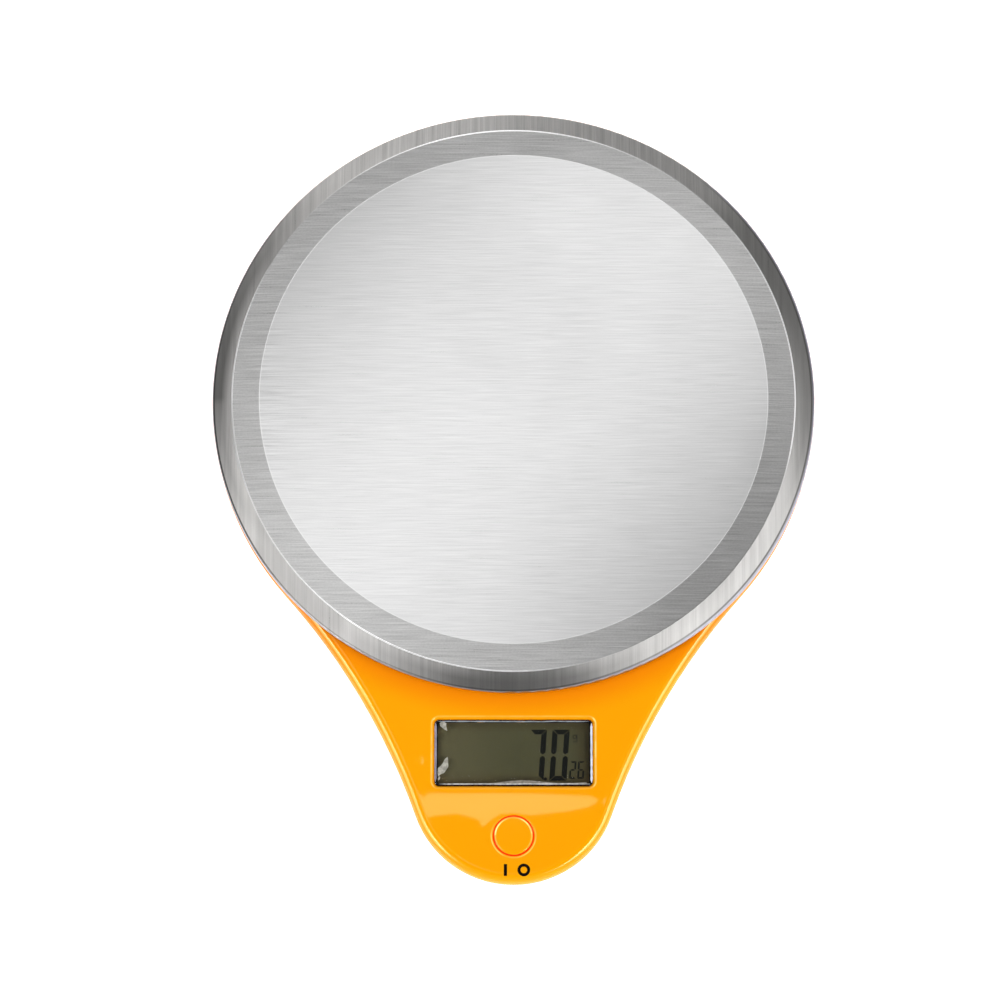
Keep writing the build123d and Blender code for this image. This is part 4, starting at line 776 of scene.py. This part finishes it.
def make_display():
    dark = ink("lcd_segment_ink", (0.003, 0.0035, 0.003), rough=0.5, spec=0.03)
    big = dict(w=5.05, h=15.2, t=1.55, th=1.40)
    shapes = []
    shapes += place(segment_shapes(**big, on="abc"), 3.75, -8.12)
    shapes += place(segment_shapes(**big, on="abcdef"), 10.45, -8.12)
    dot = [(9.34 + 0.46 * math.cos(a * math.pi / 12), -7.64 + 0.46 * math.sin(a * math.pi / 12)) for a in range(24)]
    shapes.append([(LENS_CX + x * MM, LENS_CY + y * MM) for x, y in dot])
    small = dict(w=1.9, h=5.2, t=0.50, th=0.48, g=0.05, gm=0.16, tap=0.18)
    shapes += place(segment_shapes(**small, on="abged"), 16.25, -7.55, 0.06)
    shapes += place(segment_shapes(**small, on="afgedc"), 18.65, -7.55, 0.06)
    # a plain unit sign, small and faint
    bowl_o = [(17.95 + 0.62 * math.cos(a * math.pi / 16), 4.95 + 0.66 * math.sin(a * math.pi / 16)) for a in range(32)]
    bowl_i = [(17.95 + 0.36 * math.cos(a * math.pi / 16), 4.95 + 0.40 * math.sin(a * math.pi / 16)) for a in range(32)]
    stem = [(18.48, 5.62), (18.72, 5.62), (18.72, 3.55), (18.48, 3.55)]
    hook = [(17.45, 3.36), (18.66, 3.36), (18.66, 3.58), (17.45, 3.58)]
    faint = ink("lcd_unit_ink", (0.017, 0.016, 0.011), rough=0.5, spec=0.03)
    solid_from("lcd_unit_sign", [(here(bowl_o), here(bowl_i)), here(stem), here(hook)], lambda x, y: FACE_Z + 0.004 * MM, 0.012 * MM, faint, "base")
    solid_from("lcd_segments", shapes, lambda x, y: FACE_Z + 0.004 * MM, 0.014 * MM, dark, "base")


make_display()


def rounded_rect(cx, cy, w, d, r, steps=8):
    pts = []
    for k, (sx, sy) in enumerate(((1, 1), (-1, 1), (-1, -1), (1, -1))):
        ox, oy = cx + sx * (w / 2 - r), cy + sy * (d / 2 - r)
        for i in range(steps + 1):
            a = math.pi / 2 * (k + i / steps)
            pts.append((ox + r * math.cos(a), oy + r * math.sin(a)))
    return pts


def wander(points, amount, scale, seed):
    """Pushes an outline about a little, as a hand-cut or lifted edge."""
    out = []
    for x, y in points:
        q = Vector((x / MM * scale + seed, y / MM * scale, seed * 0.37))
        out.append((x + noise.noise(q) * amount * MM, y + noise.noise(q + Vector((7.3, 2.1, 5.5))) * amount * MM))
    return out


def dense(points, step):
    """Adds points along a closed outline so that it can bend."""
    out = []
    n = len(points)
    for i in range(n):
        (x0, y0), (x1, y1) = points[i], points[(i + 1) % n]
        k = max(1, int(math.hypot(x1 - x0, y1 - y0) / (step * MM)))
        out += [(x0 + (x1 - x0) * j / k, y0 + (y1 - y0) * j / k) for j in range(k)]
    return out


def strip(line, widths):
    """A closed outline round a line of points, as wide as widths says at each."""
    left, right = [], []
    for i, (x, y) in enumerate(line):
        x0, y0 = line[max(0, i - 1)]
        x1, y1 = line[min(len(line) - 1, i + 1)]
        dx, dy = x1 - x0, y1 - y0
        d = math.hypot(dx, dy)
        nx, ny = -dy / d, dx / d
        w = widths[i] / 2
        left.append((x + nx * w, y + ny * w))
        right.append((x - nx * w, y - ny * w))
    return left + right[::-1]


def run(x0, y0, x1, y1, w, seed, n=60, amp=0.07, vary=0.35):
    """A wavering strip between two places, thinning to its ends."""
    line, widths = [], []
    for i in range(n + 1):
        f = i / n
        a = noise.noise(Vector((f * 9.0, seed, 0.3))) * amp
        b = 1.0 + noise.noise(Vector((f * 14.0, seed, 4.7))) * vary
        dx, dy = x1 - x0, y1 - y0
        d = math.hypot(dx, dy)
        line.append((x0 + dx * f - dy / d * a, y0 + dy * f + dx / d * a))
        widths.append(max(0.03, w * b * min(1.0, 12 * f + 0.2, 12 * (1 - f) + 0.2)))
    return strip(line, widths)


def painted_reflection_finish(name, base, rough=0.25, spec=0.4, scale=900.0, spread=0.3):
    m, t, p, where, out = material(name)
    crease = t.noise(where, scale, 3.0, 0.6)
    pale = tuple(min(1.0, c * (1 + spread)) for c in base)
    dull = tuple(c * (1 - spread) for c in base)
    setp(p, base=t.mix(t.ramp(crease, 0.35, 0.65, 0, 1), dull, pale), rough=t.ramp(crease, 0.3, 0.7, rough, rough + 0.2), spec=spec, normal=t.bump(crease, 6.0e-6))
    return m


def make_window_trim():
    w, d = (lens_hi.x - lens_lo.x) / MM, (lens_hi.y - lens_lo.y) / MM
    # black border printed under the window, its inner edge not quite straight
    outer = dense(rounded_rect(LENS_CX, LENS_CY, (w - 0.06) * MM, (d - 0.06) * MM, 1.27 * MM), 0.5)
    inner = dense(rounded_rect(LENS_CX, LENS_CY, (w - 2.0) * MM, (d - 1.66) * MM, 0.60 * MM), 0.5)
    k = min(len(outer), len(inner))
    outer = [outer[int(i * len(outer) / k)] for i in range(k)]
    inner = wander([inner[int(i * len(inner) / k)] for i in range(k)], 0.16, 0.35, 3.0)
    solid_from("lens_border_print", [(outer, inner)], lambda x, y: lens_lo.z + 0.015 * MM, 0.02 * MM, ink("lens_border_ink", (0.003, 0.003, 0.004), rough=0.5, spec=0.03), "base")
    top = lens_hi.z + 0.003 * MM
    # painted reflections along the window's edges, as the protective film's lifted rim: bright at the right, grey at
    # the left, thin lines above and below
    e = 0.36
    solid_from("painted_reflection_rim_left", [here(run(-w / 2 + e, -d / 2 + 1.1, -w / 2 + e, d / 2 - 1.0, 0.62, 1.5, amp=0.03, vary=0.2))], lambda x, y: top, 0.012 * MM, painted_reflection_finish("painted_reflection_lilac", (0.26, 0.25, 0.33), scale=350.0, spread=0.25), "base")
    solid_from("painted_reflection_rim_right", [here(run(w / 2 - e, -d / 2 + 0.9, w / 2 - e, d / 2 - 1.1, 0.62, 2.5, amp=0.04, vary=0.3))], lambda x, y: top, 0.012 * MM, painted_reflection_finish("painted_reflection_bright", (0.66, 0.72, 0.86), scale=350.0, spread=0.15), "base")
    solid_from(
        "painted_reflection_rim_top", [here(run(-w / 2 + 1.0, d / 2 - 0.62, w / 2 - 1.0, d / 2 - 0.62, 0.27, 5.5, n=110, amp=0.13, vary=0.5))], lambda x, y: top, 0.012 * MM, painted_reflection_finish("painted_reflection_grey_blue", (0.30, 0.34, 0.38)), "base"
    )
    low = [here(run(-w / 2 + 1.3, -d / 2 + 0.52, w / 2 - 0.8, -d / 2 + 0.52, 0.33, 9.5, n=110, amp=0.05, vary=0.3))]
    solid_from("painted_reflection_rim_bottom", low, lambda x, y: top, 0.012 * MM, painted_reflection_finish("painted_reflection_grey_pale", (0.50, 0.50, 0.48)), "base")
    # painted reflections on scraps where the film has let go of the window
    leaf = [(-21.7, 8.75), (-21.1, 9.15), (-20.3, 9.1), (-19.6, 8.7), (-19.75, 7.7), (-19.5, 6.5), (-20.5, 7.1), (-21.3, 7.7)]
    tongue = [(-22.2, -5.6), (-22.0, -4.6), (-20.9, -3.5), (-20.1, -2.0), (-19.4, -1.3), (-19.1, -2.9), (-19.2, -4.5), (-20.1, -5.8), (-21.2, -6.3), (-22.1, -7.2)]
    drop = [(-22.1, -7.5), (-21.5, -6.9), (-21.3, -7.6), (-22.0, -8.4)]
    # painted reflection where the film sags along the window's lower edge
    sag = [(-7.0, -9.15), (-4.0, -8.85), (-1.2, -8.5), (2.6, -8.25), (6.8, -8.5), (11.0, -8.95), (15.2, -9.1), (21.4, -8.85), (21.4, -9.2), (8.0, -9.3), (-7.0, -9.28)]
    shapes = [here(leaf), here(tongue), here(drop)]
    shapes = [wander(dense(sh, 0.3), 0.22, 1.1, 2.0 + i) for i, sh in enumerate(shapes)]
    solid_from("painted_reflection_scraps", shapes, lambda x, y: top, 0.012 * MM, painted_reflection_finish("painted_reflection_scrap", (0.36, 0.35, 0.30), rough=0.35), "base")
    solid_from("painted_reflection_sag", [wander(dense(here(sag), 0.5), 0.06, 0.6, 6.0)], lambda x, y: top, 0.010 * MM, painted_reflection_finish("painted_reflection_sag_grey", (0.22, 0.20, 0.17), rough=0.35), "base")


make_window_trim()

DECK_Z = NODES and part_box("upper_shell")[1].z
SHELL_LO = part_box("upper_shell")[0]
LOBE_R, EDGE_R = 30.4 * MM, 3.0 * MM
LOBE_Y = SHELL_LO.y + LOBE_R


def deck_z(x, y):
    """Height of the deck near the front of the lobe: flat, then rolling over its rounded edge."""
    r = math.hypot(x, y - LOBE_Y) - (LOBE_R - EDGE_R)
    if y > LOBE_Y or r <= 0:
        return DECK_Z
    return DECK_Z - EDGE_R + math.sqrt(max(0.0, EDGE_R * EDGE_R - r * r))


def make_label():
    """The on and off signs printed below the key: a bar and a ring."""
    cy = -114.1 * MM
    bar = [(-2.35 * MM + sx * 0.46 * MM, cy + sy * 1.75 * MM) for sx, sy in ((-1, -1), (1, -1), (1, 1), (-1, 1))]
    ring_o = [(3.0 * MM + 1.85 * MM * math.cos(a * math.pi / 32), cy + 1.85 * MM * math.sin(a * math.pi / 32)) for a in range(64)]
    ring_i = [(3.0 * MM + 0.98 * MM * math.cos(a * math.pi / 32), cy + 0.98 * MM * math.sin(a * math.pi / 32)) for a in range(64)]
    solid_from("power_sign", [bar, (ring_o, ring_i)], lambda x, y: deck_z(x, y) + 0.002 * MM, 0.014 * MM, ink("sign_ink", (0.003, 0.002, 0.002), rough=0.5, spec=0.04), "base", grid=0.25 * MM)


make_label()
